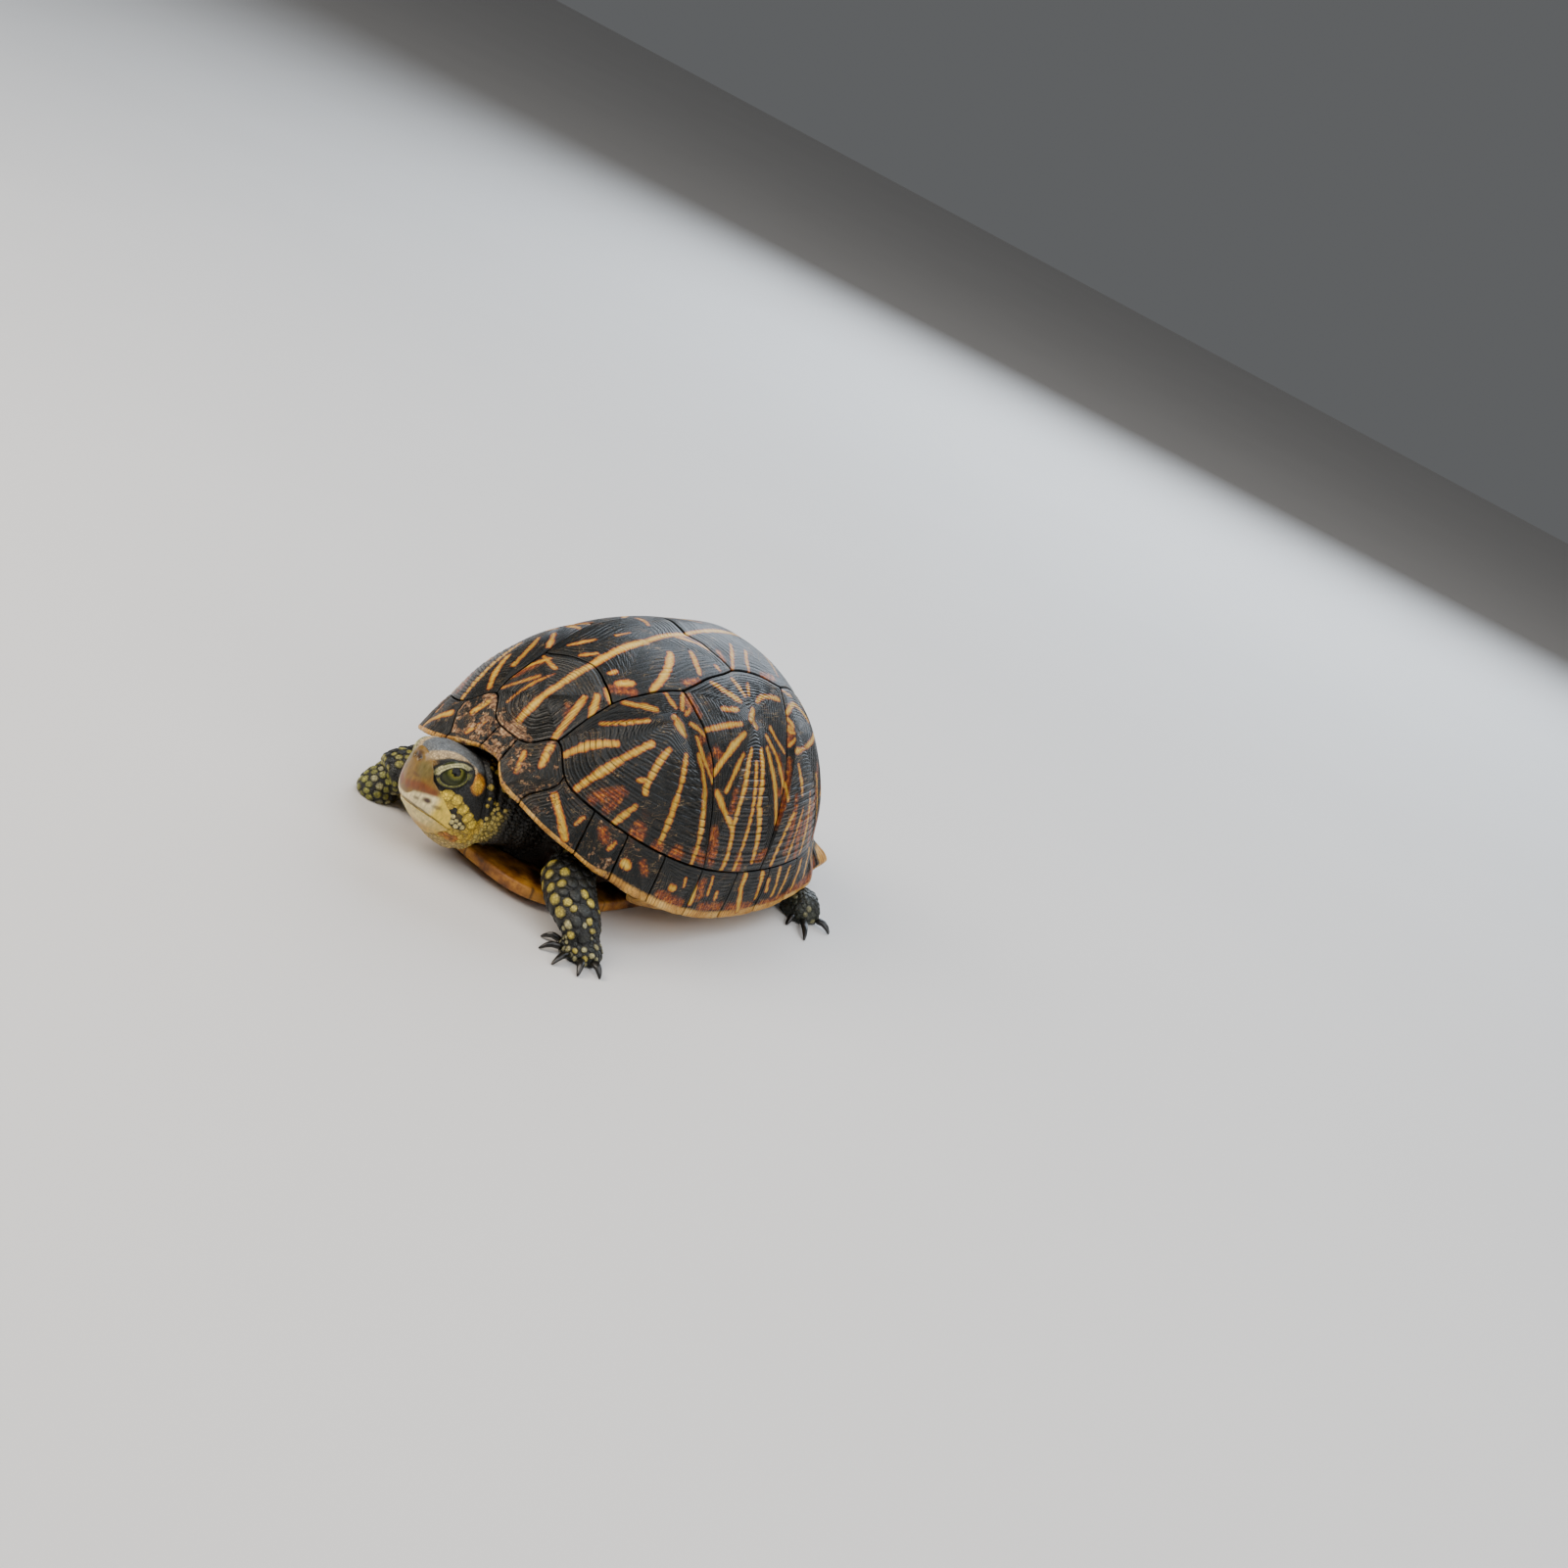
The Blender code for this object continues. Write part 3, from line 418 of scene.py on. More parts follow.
def outline_of(corners):
    """A scute's outline on the disk, running left round the areola."""
    dense = []
    for (p0, q0), (p1, q1) in zip(corners, corners[1:] + corners[:1]):
        turns = [math.atan2(q0, p0), math.atan2(q1, p1)]
        if turns[0] * turns[1] < 0 and min(turns) < -math.pi / 2:
            turns = [turn % (2 * math.pi) for turn in turns]
        on_ring = all(abs(math.hypot(p, q) - ring_edge(math.degrees(turn))) < 1e-6
                      for (p, q), turn in (((p0, q0), turns[0]), ((p1, q1), turns[1])))
        share = np.linspace(0, 1, 60, endpoint=False)
        if on_ring:
            turn = turns[0] + (turns[1] - turns[0]) * share
            reach = ring_edge(np.abs((np.degrees(turn) + 180) % 360 - 180))
            dense.append(np.stack([reach * np.cos(turn), reach * np.sin(turn)], axis=1))
        else:
            dense.append(np.outer(1 - share, (p0, q0)) + np.outer(share, (p1, q1)))
    dense = np.concatenate(dense)
    calm = ease(0.84, 0.74, np.hypot(dense[:, 0], dense[:, 1]))
    spine = ease(0.0, 0.05, np.abs(dense[:, 1]))
    dense = dense + np.stack([ripple(dense[:, 0], dense[:, 1], 38, 1) * calm,
                              ripple(dense[:, 0], dense[:, 1], 34, 2) * calm * spine],
                             axis=1) * WANDER
    ahead, behind = np.roll(dense, -1, axis=0), dense
    if np.sum(behind[:, 0] * ahead[:, 1] - ahead[:, 0] * behind[:, 1]) < 0:
        dense = dense[::-1]
    points = evenly_spaced(dense)
    run = unit(np.roll(points, -1, axis=0) - np.roll(points, 1, axis=0))
    return points + np.stack([-run[:, 1], run[:, 0]], axis=1) * SEAM


def around(outline, lap):
    """Outline points at these shares of the way round."""
    count = len(outline)
    segment = lap * count
    low = np.floor(segment).astype(int) % count
    share = (segment - np.floor(segment))[..., None]
    return outline[low] * (1 - share) + outline[(low + 1) % count] * share


def polar_point(areola, outline, degrees, share):
    """The disk point that far from the areola in that direction."""
    turns = np.degrees(np.arctan2(outline[:, 1] - areola[1], outline[:, 0] - areola[0]))
    nearest = np.argmin(np.abs((turns - degrees + 180) % 360 - 180))
    return np.array(areola) + (outline[nearest] - areola) * share


def streak_field(points, streaks):
    """How far inside the nearest streak each point is, in mm; negative outside.

    A streak is a list of (place, half width) along its run."""
    field = np.full(len(points), -3.0)
    for streak in streaks:
        for (start, wide), (end, narrow) in zip(streak, streak[1:]):
            run = end - start
            share = np.clip((points - start) @ run / max(run @ run, 1e-9), 0, 1)
            reach = np.linalg.norm(points - start - share[:, None] * run, axis=1)
            field = np.maximum(field, wide + (narrow - wide) * share - reach)
    return field


# %% [markdown]
# ## The colour rays
#
# A Florida box turtle wears narrow yellow rays that spread from every areola, with rusty
# ends and a few orange spots between them.  Each is a row: width in millimetres, then its
# turning points in the scute's polar map.  The spine's pale stripe is one long ray.

# %% Rays of each scute
YELLOW = {
    "vertebral_1": [
        (2.5, (0, 1), (0, 0), (180, 1)), (2.1, (128, .61), (75, .99)),
        (2.2, (132, .8), (113, 1)), (1.6, (141, .97), (130, 1)),
        (1, (-145, .5), (-60, .76)), (1.9, (-133, .84), (-112, 1)),
        (1.2, (-120, .5), (-84, .95)), (1.6, (-141, .62), (-128, .94))],
    "vertebral_2": [
        (2.9, (0, 1), (0, 0)), (2.4, (0, 0), (180, 1)), (1.5, (-48, .79), (-54, .56)),
        (1.2, (-69, .42), (-94, .33)), (1.2, (-26, .94), (-17, .75)), (1.5, (-125, .87), (-132, .47)),
        (2.5, (114, .42), (92, .66), (73, .97)), (2.6, (42, .82), (56, .8)), (1.8, (27, .87), (32, .76)),
        (1.8, (134, .54), (117, .9)), (1.6, (133, .84), (132, .93)), (1.4, (172, .66), (151, .98))],
    "vertebral_3": [
        (2.1, (0, 1), (0, 0), (180, 1)), (1.3, (50, .52), (59, .97)), (1.5, (82, .54), (79, 1)),
        (1.4, (154, .6), (121, .84)), (1.4, (-52, .5), (-60, .96)), (1.4, (-86, .55), (-82, 1)),
        (1.4, (-150, .58), (-122, .86))],
    "vertebral_4": [
        (2, (0, 1), (0, 0), (180, 1)), (1.4, (40, .5), (48, .96)), (1.5, (75, .48), (76, .98)),
        (1.4, (120, .5), (112, .96)), (1.3, (152, .6), (142, .96)), (1.4, (-44, .5), (-50, .97)),
        (1.4, (-80, .5), (-78, .97)), (1.4, (-124, .5), (-112, .95)), (1.3, (-150, .6), (-140, .96))],
    "vertebral_5": [
        (1.8, (0, 1), (0, 0), (180, .9)), (1.4, (55, .4), (62, .97)), (1.5, (100, .35), (100, .97)),
        (1.5, (125, .35), (122, .97)), (1.5, (150, .35), (145, .96)), (1.4, (-58, .4), (-64, .97)),
        (1.5, (-98, .35), (-99, .97)), (1.5, (-124, .35), (-122, .97)), (1.5, (-151, .35), (-146, .96))],
    "costal_1": [
        (1.9, (-41, .91), (-45, .41)), (1.7, (-21, .71), (-17, .23)), (2, (-86, .91), (-101, .4)),
        (2.8, (-52, .07), (103, .11)), (2.3, (-10, .97), (0, .51)), (2.3, (10, .97), (26, .29)),
        (2.3, (61, .26), (49, .55), (51, .65)), (1.6, (49, .55), (39, .6)),
        (2, (93, .27), (80, .61), (74, .94)), (2.1, (113, .48), (102, .72), (97, 1)),
        (2.2, (41, .99), (48, .79)), (1.7, (128, .52), (116, .97)), (1.6, (-122, .88), (-134, .45)),
        (1.5, (150, .5), (140, .9)), (1.4, (-160, .8), (-165, .45))],
    "costal_2": [
        (2, (-47, .92), (-55, .38)), (1.7, (-21, .57), (-29, .27)), (1.9, (3, 1), (10, .28)),
        (2.3, (37, 1), (43, .25)), (2.4, (-105, .17), (0, .05), (117, .08)),
        (2, (80, .21), (79, .44), (77, .73)), (2.1, (50, .93), (77, .73)),
        (2.1, (77, .73), (82, .9), (81, 1)), (2.3, (110, .22), (101, .57), (104, .94)),
        (2.1, (127, .37), (121, 1)), (1.5, (-99, .73), (-93, .48)), (1.9, (63, .3), (58, .7)),
        (1.8, (95, .3), (91, .98)), (1.8, (142, .35), (133, .96)),
        (1.8, (-150, .85), (-128, .5), (-120, .36)), (1.8, (165, .5), (152, .9)),
        (1.6, (-70, .84), (-78, .45))],
    "costal_3": [
        (2, (-145, .46), (-95, .6), (-45, .96)), (2, (82, .18), (158, .24), (-161, .74)),
        (1.9, (-30, .9), (-20, .45)), (1.5, (96, .27), (108, .49)), (1.6, (20, .93), (40, .35)),
        (1.7, (52, .96), (64, .34)), (1.5, (74, .98), (84, .52)), (1.7, (90, .97), (98, .62)),
        (1.5, (105, .98), (112, .6)), (1.6, (120, .97), (126, .5)), (1.5, (-75, .92), (-92, .78)),
        (1.6, (145, .92), (150, .55)), (1.4, (0, .92), (12, .5)), (1.4, (-120, .93), (-130, .7))],
    "costal_4": [
        (1.7, (-140, .9), (-130, .35)), (1.7, (-95, .92), (-92, .35)), (1.8, (-50, .93), (-42, .33)),
        (1.6, (-10, .93), (0, .4)), (1.8, (32, .96), (38, .32)), (1.6, (62, .98), (66, .36)),
        (1.8, (88, .98), (92, .34)), (1.6, (112, .97), (114, .4)), (1.8, (140, .95), (140, .34)),
        (1.6, (170, .93), (172, .4))],
}
RUSTY = {
    "vertebral_1": [(2.2, (-128, .8), (-100, .96)), (1.6, (110, .55), (96, .75))],
    "vertebral_2": [(2.8, (40, .95), (58, .95)), (1.6, (173, .94), (151, .98)),
                    (1.8, (100, .9), (112, .97))],
    "vertebral_3": [(2.2, (96, .97), (110, .89)), (1.6, (40, .9), (48, .97)),
                    (1.8, (-96, .95), (-108, .9))],
    "costal_1": [(3.2, (21, .94), (34, .75)), (2.4, (32, .94), (34, .77)), (5, (57, .93), (58, .97)),
                 (4, (72, .97), (74, .99)), (4.6, (85, .95), (86, .99)), (3, (98, .9), (104, .95)),
                 (4, (118, .9), (124, .95)), (2.6, (-130, .95), (-150, .9)), (2.2, (130, .7), (136, .9))],
    "costal_2": [(1.7, (-27, .98), (-12, .98)), (1.4, (142, .74), (136, 1)), (3.6, (63, .91), (70, .95)),
                 (3, (91, .9), (94, .99)), (3, (108, .92), (114, .97)), (2.6, (22, .93), (30, .85)),
                 (2.4, (126, .85), (130, .96)), (2, (68, .5), (70, .66))],
    "costal_3": [(2, (124, .6), (118, .81)), (2, (164, .64), (131, .69)), (2.4, (70, .8), (80, .97)),
                 (2.2, (98, .5), (100, .9)), (2, (112, .7), (114, .98)), (2, (40, .5), (44, .9)),
                 (2, (128, .6), (132, .95))],
    "costal_4": [(2.2, (75, .6), (78, .96)), (2.4, (50, .6), (54, .96)), (2.2, (100, .6), (104, .96)),
                 (2.2, (125, .6), (128, .95))],
}
print(sum(len(rows) for rows in YELLOW.values()), "yellow rays")


# %% Rays lifted onto the shell
LOOSENESS = 5  # degrees by which the far side's rays stray from the near side's
BEND = 0.048  # how much a ray bows between two turning points


def lifted_streaks(rows, areola, outline, mirrored, seed):
    """Rows of a table as runs of places on the shell; the far side is a looser copy."""
    streaks = []
    for number, (width, *turns) in enumerate(rows):
        flat = []
        for degrees, share in turns:
            if mirrored:
                degrees = -degrees + LOOSENESS * math.sin(seed + 2.3 * number)
                share = min(1.0, share * (1 + 0.05 * math.sin(seed + 1.9 * number)))
            flat.append(polar_point(areola, outline, degrees, share))
        run = []
        for start, end in zip(flat, flat[1:]):
            for share in np.linspace(0, 1, 7):
                bend = BEND * math.sin(math.pi * share) * math.sin(number * 1.3 + seed)
                cross = np.array([start[1] - end[1], end[0] - start[0]]) * bend
                run.append(start * (1 - share) + end * share + cross)
        run = np.array(run)
        ends = np.linspace(0, 1, len(run))
        half = width / 2 * (0.80 + 0.20 * np.sin(np.pi * ends) + 0.10 * np.sin(9 * ends + number))
        streaks.append(list(zip(dome(run[:, 0], run[:, 1]), half)))
    return streaks


# %% [markdown]
# ## From a sphere's rows to a plate
#
# Every year a scute grows a rim of new horn, so its face is a flight of rounded steps that
# echo its outline, with a narrow groove at each.  The steps are real geometry here; only
# the finest lines are left to the material.  Counted from the sphere's top, the first rows
# make the face, four roll over the edge, and the last ones turn in and close the underside,
# which makes the seams true dark gaps.  The plates of the dome and of the rim share this.

# %% Rows of a plate
STEPS_OF_A_BAND = (0.0, 0.14, 0.34, 0.60, 0.85)
ROLL_ROWS = 4


def flight_of_steps(flat, edges):
    """Where each row of the face lies from areola to seam, and how high: -1 in a groove."""
    shares, profile = list(flat), [0.0] * len(flat)
    for low, high in zip(edges, edges[1:]):
        for step in STEPS_OF_A_BAND:
            shares.append(low + (high - low) * step)
            profile.append(-1.0 if step == 0.0 else 0.30 - 0.45 * step)
    return np.array(shares), np.array(profile)


def plate_rows(row, shares, roll, underside):
    """For each vertex's row: share of the way to the seam, roll from 0 to 1, rows below it.

    roll is the rolled edge's share of the way, underside its rows below as (share, lift)."""
    last = len(shares) - 1
    rolled = np.clip((row - last) / ROLL_ROWS, 0, 1)
    share = np.where(row <= last, shares[np.minimum(row, last)] * (1 - roll), 1 - (1 - rolled) * roll)
    below = row - last - 1 - ROLL_ROWS
    inward = np.array(underside)[np.clip(below, 0, len(underside) - 1), 0]
    return np.where(below >= 0, inward, share), rolled, below


def closed_lift(lift, rolled, drop, below, underside):
    """The face's lift, falling away round the edge and given by the table underneath."""
    lift = np.where(rolled > 0, lift - drop * (1 - np.sqrt(np.maximum(0, 1 - rolled ** 2))), lift)
    return np.where(below >= 0, np.array(underside)[np.clip(below, 0, len(underside) - 1), 1], lift)


print("rows round an edge:", ROLL_ROWS)

# %% [markdown]
# ## Scutes of the dome
#
# Five scutes run down the spine and four down each side.  The two middle ones of the spine
# are worn smooth, so their steps are low.  The right side is drawn as the left, mirrored,
# and its rays stray a little, because no turtle is the same on both sides.

# %% The scutes
SEGMENTS = 220
FLAT_ROWS = (0.0, 0.05, 0.11, 0.16)  # the smooth areola's rows
FIRST_EDGE = 0.20  # and where the first band starts
BAND_POWER = 0.92  # bands grow narrower towards the seam
DOME_RELIEF = 0.5  # how far the areola stands above the seam, mm
ROLL = 0.7  # mm over which an edge rolls over
ROLL_DROP = 0.42
UNDERSIDE = [(0.99, -1.3), (0.97, -PLATE), (0.6, -PLATE), (0.3, -PLATE), (0.0, -PLATE)]
FULL_RELIEF = 0.42  # of the deepest steps, mm
WORN = 0.44


def scute_piece(name, areola, corners, bands, relief, mirrored=False):
    seed = sum(map(ord, name)) % 17
    if mirrored:
        areola = (areola[0], -areola[1])
        corners = [(p, -q) for p, q in corners]
    areola = np.array(areola)
    outline = outline_of(corners)
    edges = [FIRST_EDGE + (1 - FIRST_EDGE) * (k / bands) ** BAND_POWER
             + 0.010 * math.sin(5.1 * k + seed) * (0 < k < bands) for k in range(bands + 1)]
    shares, profile = flight_of_steps(FLAT_ROWS, edges)
    rows = len(shares) + ROLL_ROWS + len(UNDERSIDE) - 1
    item, segment, row = sphere_to_shape("scute_" + name, SEGMENTS, rows)
    rim = around(outline, segment / SEGMENTS)
    length = np.linalg.norm(dome(rim[:, 0], rim[:, 1]) - dome(*areola), axis=1)
    share, rolled, below = plate_rows(row, shares, ROLL / length, UNDERSIDE)
    p, q = (areola + (rim - areola) * share[:, None]).T
    on_face = row < len(shares)
    groove = np.where(on_face, profile[np.minimum(row, len(shares) - 1)], 0.0)
    strength = relief * (0.75 + 0.45 * ripple(p, q, 26, seed)) * ease(0.15, 0.5, share)
    lift = DOME_RELIEF * (1 - share ** 2) + groove * strength + 0.16 * ripple(p, q, 17, seed + 5)
    place_vertices(item, carapace(p, q, closed_lift(lift, rolled, ROLL_DROP, below, UNDERSIDE)))
    kind = name.replace("_left", "").replace("_right", "")
    ray, rust = (streak_field(dome(p, q), lifted_streaks(table.get(kind, []), areola, outline,
                                                         mirrored, seed))
                 for table in (YELLOW, RUSTY))
    add_attributes(item, ray=ray, rust=rust, seam_mm=(1 - share) * length * (below < 0),
                   groove=np.where(groove < -0.9, strength / 0.3, 0.0), tan=0.0,
                   etch=relief / FULL_RELIEF,
                   wear=WORN * ease(0.70, 0.84, p) * ease(0.30, 0.12, np.abs(q)))
    face_outward(item)
    return item


dome_pieces = []
for kind, (areola, corners, bands, relief) in SCUTES.items():
    row, number = kind.split("_")
    if row == "vertebral":
        dome_pieces.append(scute_piece(kind, areola, corners, bands, relief))
    else:
        for side in ("left", "right"):
            dome_pieces.append(scute_piece(f"{row}_{side}_{number}", areola, corners, bands, relief,
                                           mirrored=side == "right"))
print(len(dome_pieces), "scutes,", sum(len(i.data.polygons) for i in dome_pieces), "faces")

# %% [markdown]
# ## Horn
#
# Scutes are keratin, like fingernail: near-black with brown depth, yellow where the rays
# run, and polished by use.  The rays come from a distance in millimetres stored on the
# mesh, roughened by noise so that their edges are grown and not painted.  Rust sits at
# their borders and in blotches.  Growth lines, a millimetre apart, are a dark stain and a
# bump; hair scratches are pale; worn patches near the nuchal lose their gloss and go
# pinkish tan.

# %% Scute horn
LINE_GAP = 1.15  # mm from one growth line to the next


def horn_material(name, roughness, smooth, rough):
    """Scute horn: its usual roughness, and the two values between which it varies."""
    horn = start_material(name, {"Roughness": roughness, "IOR": 1.5, "Specular IOR Level": 0.32})
    place = node(horn, "TexCoord", output="Object")
    # size in mm, detail and roughness of four kinds of cloudiness
    mottle, ragged, fine, worn = [
        node(horn, "TexNoise", {"Vector": place, "Scale": 1 / (size * MM), "Detail": detail,
                                "Roughness": harshness}, "Fac")
        for size, detail, harshness in ((6, 5, 0.6), (1.1, 4, 0.65), (0.35, 3, 0.5), (2.6, 6, 0.7))]
    ray, rust, seam, groove, tan, wear, etch = [
        node(horn, "Attribute", output="Fac", attribute_name=stored)
        for stored in ("ray", "rust", "seam_mm", "groove", "tan", "wear", "etch")]
    unevenness = node(horn, "Math", [ragged, -0.5], operation="ADD")
    unevenness = node(horn, "Math", [unevenness, 1.2], operation="MULTIPLY")

    black = node(horn, "ValToRGB", [mottle], stops=[
        (0.25, "#060807"), (0.50, "#0d0f0d"), (0.62, "#1b140b"), (0.76, "#43240d")])
    inside = node(horn, "Math", [ray, unevenness], operation="ADD")
    drift = node(horn, "Math", [mottle, -0.5], operation="ADD")
    inside = node(horn, "Math", [drift, 1.5, inside], operation="MULTIPLY_ADD")
    yellow = node(horn, "ValToRGB", [node(horn, "MapRange", [inside, -1.0, 1.5])], stops=[
        (0.20, "#1a0d08"), (0.32, "#5e2008"), (0.41, "#94430a"), (0.50, "#b07a18"),
        (0.68, "#c49a30"), (0.90, "#d6b352")])
    rust_colour = node(horn, "ValToRGB", [ragged], stops=[
        (0.3, "#2c130a"), (0.46, "#742c0a"), (0.59, "#a85710"), (0.72, "#c58a26")])
    tan_colour = node(horn, "ValToRGB", [mottle], stops=[
        (0.3, "#8a561e"), (0.5, "#cb9540"), (0.7, "#dcb264")])
    bare = node(horn, "ValToRGB", [ragged], stops=[
        (0.36, "#2a1c14"), (0.44, "#6f4d35"), (0.54, "#a07a58"), (0.64, "#bd9a72"),
        (0.72, "#e0d2ac")])
    rust = node(horn, "Math", [unevenness, 1.6, rust], operation="MULTIPLY_ADD")
    tan = node(horn, "Math", [unevenness, 0.35, tan], operation="MULTIPLY_ADD")
    worn = node(horn, "Math", [worn, wear], operation="ADD")
    # where each colour shows: from what value it starts, and at what value it is full
    ray_share, rust_share, tan_share, worn = [
        node(horn, "MapRange", [field, low, high, 0.0, full], interpolation_type="SMOOTHSTEP")
        for field, low, high, full in ((inside, -0.42, 0.08, 1.0), (rust, -0.9, 0.9, 0.92),
                                       (tan, 0.35, 0.75, 1.0), (worn, 0.90, 0.97, 1.0))]

    wobble = node(horn, "Math", [unevenness, 0.5, seam], operation="MULTIPLY_ADD")
    lines = node(horn, "Math", [wobble, 2 * math.pi / LINE_GAP], operation="MULTIPLY")
    lines = node(horn, "Math", [lines], operation="SINE")
    dirt = node(horn, "MapRange", [lines, -1.0, -0.3, 0.65, 0.0])
    dirt = node(horn, "Math", [dirt, etch], operation="MULTIPLY")
    on_ray = node(horn, "MapRange", [ray_share, 0.0, 1.0, 1.0, 0.25])
    dirt = node(horn, "Math", [dirt, on_ray], operation="MULTIPLY")
    stretched = node(horn, "Mapping", {"Vector": place, "Rotation": (0.5, 0.3, 0.9),
                                       "Scale": (1.0, 0.12, 1.0)})
    hair = node(horn, "TexNoise", {"Vector": stretched, "Scale": 1 / (1.5 * MM)}, "Fac")
    hair = node(horn, "Math", [hair, -0.5], operation="ADD")
    hair = node(horn, "Math", [hair], operation="ABSOLUTE")
    hair = node(horn, "MapRange", [hair, 0.0, 0.014, 0.6, 0.0])
    scratched = node(horn, "MapRange", [mottle, 0.50, 0.60, 0.15, 1.0])
    hair = node(horn, "Math", [hair, scratched], operation="MULTIPLY")
    # painted shade: the colour darkens in the groove at each growth step
    groove_shade = node(horn, "MapRange", [groove, 0.0, 1.0, 1.0, 0.3])
    # painted shade: the colour darkens towards each seam, where the plate's edge rolls down into the gap
    seam_shade = node(horn, "MapRange", [seam, 0.05, 0.4, 0.35, 1.0])
    colour = black
    for share, layer, how in ((rust_share, rust_colour, "MIX"), (tan_share, tan_colour, "MIX"),
                              (ray_share, yellow, "MIX"), (worn, bare, "MIX"),
                              (1.0, groove_shade, "MULTIPLY"), (dirt, "#050504", "MIX"),
                              (hair, "#a3875c", "MIX"), (1.0, seam_shade, "MULTIPLY")):
        colour = node(horn, "Mix", {0: share, 6: colour, 7: layer}, 2, data_type="RGBA",
                      blend_type=how)
    feed(horn, "Base Color", colour)

    dull = node(horn, "MapRange", [fine, 0.3, 0.7, smooth, rough])
    feed(horn, "Roughness", node(horn, "Math", [worn, 0.3, dull], operation="MULTIPLY_ADD"))
    height = fine
    lines = node(horn, "Math", [lines, etch], operation="MULTIPLY")
    for part, strength in ((lines, 0.7), (ragged, 0.8), (worn, -1.2)):
        height = node(horn, "Math", [part, strength, height], operation="MULTIPLY_ADD")
    feed(horn, "Normal", node(horn, "Bump", {"Height": height, "Distance": 0.13 * MM,
                                             "Strength": 0.8}))
    return horn


scute_horn = horn_material("polished scute horn", 0.34, 0.24, 0.42)
for item in dome_pieces:
    finish_piece(item, scute_horn, [item.name.removeprefix("scute_")])
print("horn on", len(dome_pieces), "scutes")

# %% [markdown]
# ## The rim as a map
#
# A marginal scute folds round the shell's edge: down from the costals, over a rounded lip
# and back underneath to the bridge or the skin.  Its map is a strip: degrees round the shell
# and a fold coordinate from 0 at the costals to 1 at the inner edge below.  The lip is
# notched at the seams, and on each side one corner behind stands out as a spur.

# %% The folded strip
LIP_AT = 0.60  # fold coordinate of the shell's edge
LIP_RADIUS = 0.8
LIP_ARC = 0.16  # share of the fold that goes round the lip
LIP_TURN = 150  # degrees
RIM_LIP = 7.5  # how far the underside reaches in, mm
BRIDGE_HEIGHT = 3.6  # where it meets the plastron
NECK_NOTCH = 0.060  # the rim is cut back over the neck, on the unit disk,
NOTCH_AT = 2.0  # at this angle,
NOTCH_LEFT = 6.0  # with these spreads, all in degrees
NOTCH_RIGHT = 16.0
SLANT = 7.0  # degrees by which the first seam runs forward to the edge
NOTCH_PLACES = [0.0, 4.4, 4.6, 14.0, 25.0, 31.0, 37.5, 43.0, 48.5, 55.0, 61.0, 75.0, 90.0, 104.0,
                118.0, 127.0, 132.0, 139.0, 146.0, 153.0, 163.0, 171.0, 180.0]
NOTCH_DEPTHS = [0.0, 0.3, 0.3, 0.0, 0.7, 0.0, 0.7, 0.0, 0.7, 0.0, 0.5, 0.2, 0.2,
                0.4, 0.7, 0.0, -1.8, -1.2, -8.0, -1.2, -1.8, 0.0, 0.7]

FRONT_LOBE, REAR_LOBE = 58.5, 62.0  # how far the plastron's lobes reach from y = 0
LOBE_HALF = 31.0  # half the plastron's width


def plastron_half_width(y):
    length, power = np.where(y < 0, FRONT_LOBE, REAR_LOBE), np.where(y < 0, 4.0, 2.6)
    return LOBE_HALF * np.maximum(0.0, 1 - np.abs(y / length) ** power) ** (1 / power)


def rim_end(degrees):
    """Where the rim ends on the disk: at 1, but for the notch over the neck."""
    off = degrees - NOTCH_AT
    return 1 - NECK_NOTCH * np.exp(-(off / np.where(off > 0, NOTCH_LEFT, NOTCH_RIGHT)) ** 2)


def lip_inner(turn, end):
    """Inner edge of the rim's underside; at the bridge it reaches the plastron."""
    edge = dome(end * np.cos(turn), end * np.sin(turn))
    inward = -edge * [1, 1, 0]
    free = edge + unit(inward) * RIM_LIP + [0, 0, 1.4]
    y = edge[..., 1] * 0.9
    bridge = np.stack([np.copysign(plastron_half_width(y) + 0.5, turn), y,
                       np.full_like(y, BRIDGE_HEIGHT)], axis=-1)
    share = ease(0.80, 0.965, np.abs(np.sin(turn)))[..., None]
    return free * (1 - share) + bridge * share


def rim(degrees, fold, sign=1):
    """Points of the folded strip, in millimetres; the notch lies left of the middle."""
    slant = ease(NUCHAL_HALF, 25.0, degrees) * ease(37.5, 25.0, degrees)
    top = np.clip(fold / LIP_AT, 0, 1)
    turned = degrees - SLANT * slant * ease(0.1, 1.0, top)
    turn = np.radians(turned)
    start = ring_edge(degrees) + SEAM
    end = rim_end(turned * sign)
    rho = start + (end - start) * top
    cos, sin = np.cos(turn), np.sin(turn)
    edge = dome(end * cos, end * sin)
    outward = unit(edge * [1, 1, 0])
    notch = np.interp(np.abs(degrees), NOTCH_PLACES, NOTCH_DEPTHS)[..., None]
    upper = dome(rho * cos, rho * sin) - outward * notch * ease(0.35, 1.0, top)[..., None]
    inside = end - 0.015
    normal = dome_normal(inside * cos, inside * sin)
    along = unit(edge - dome(inside * cos, inside * sin))
    phi = np.radians(LIP_TURN) * np.clip((fold - LIP_AT) / LIP_ARC, 0, 1)[..., None]
    corner = edge - outward * notch - normal * LIP_RADIUS
    arc = corner + (normal * np.cos(phi) + along * np.sin(phi)) * LIP_RADIUS
    back = np.clip((fold - LIP_AT - LIP_ARC) / (1 - LIP_AT - LIP_ARC), 0, 1)[..., None]
    lower = arc * (1 - back) + lip_inner(turn, end) * back
    lower = lower - np.array([0, 0, 0.9]) * np.sin(np.pi * back)
    return np.where((fold <= LIP_AT)[..., None], upper, lower)


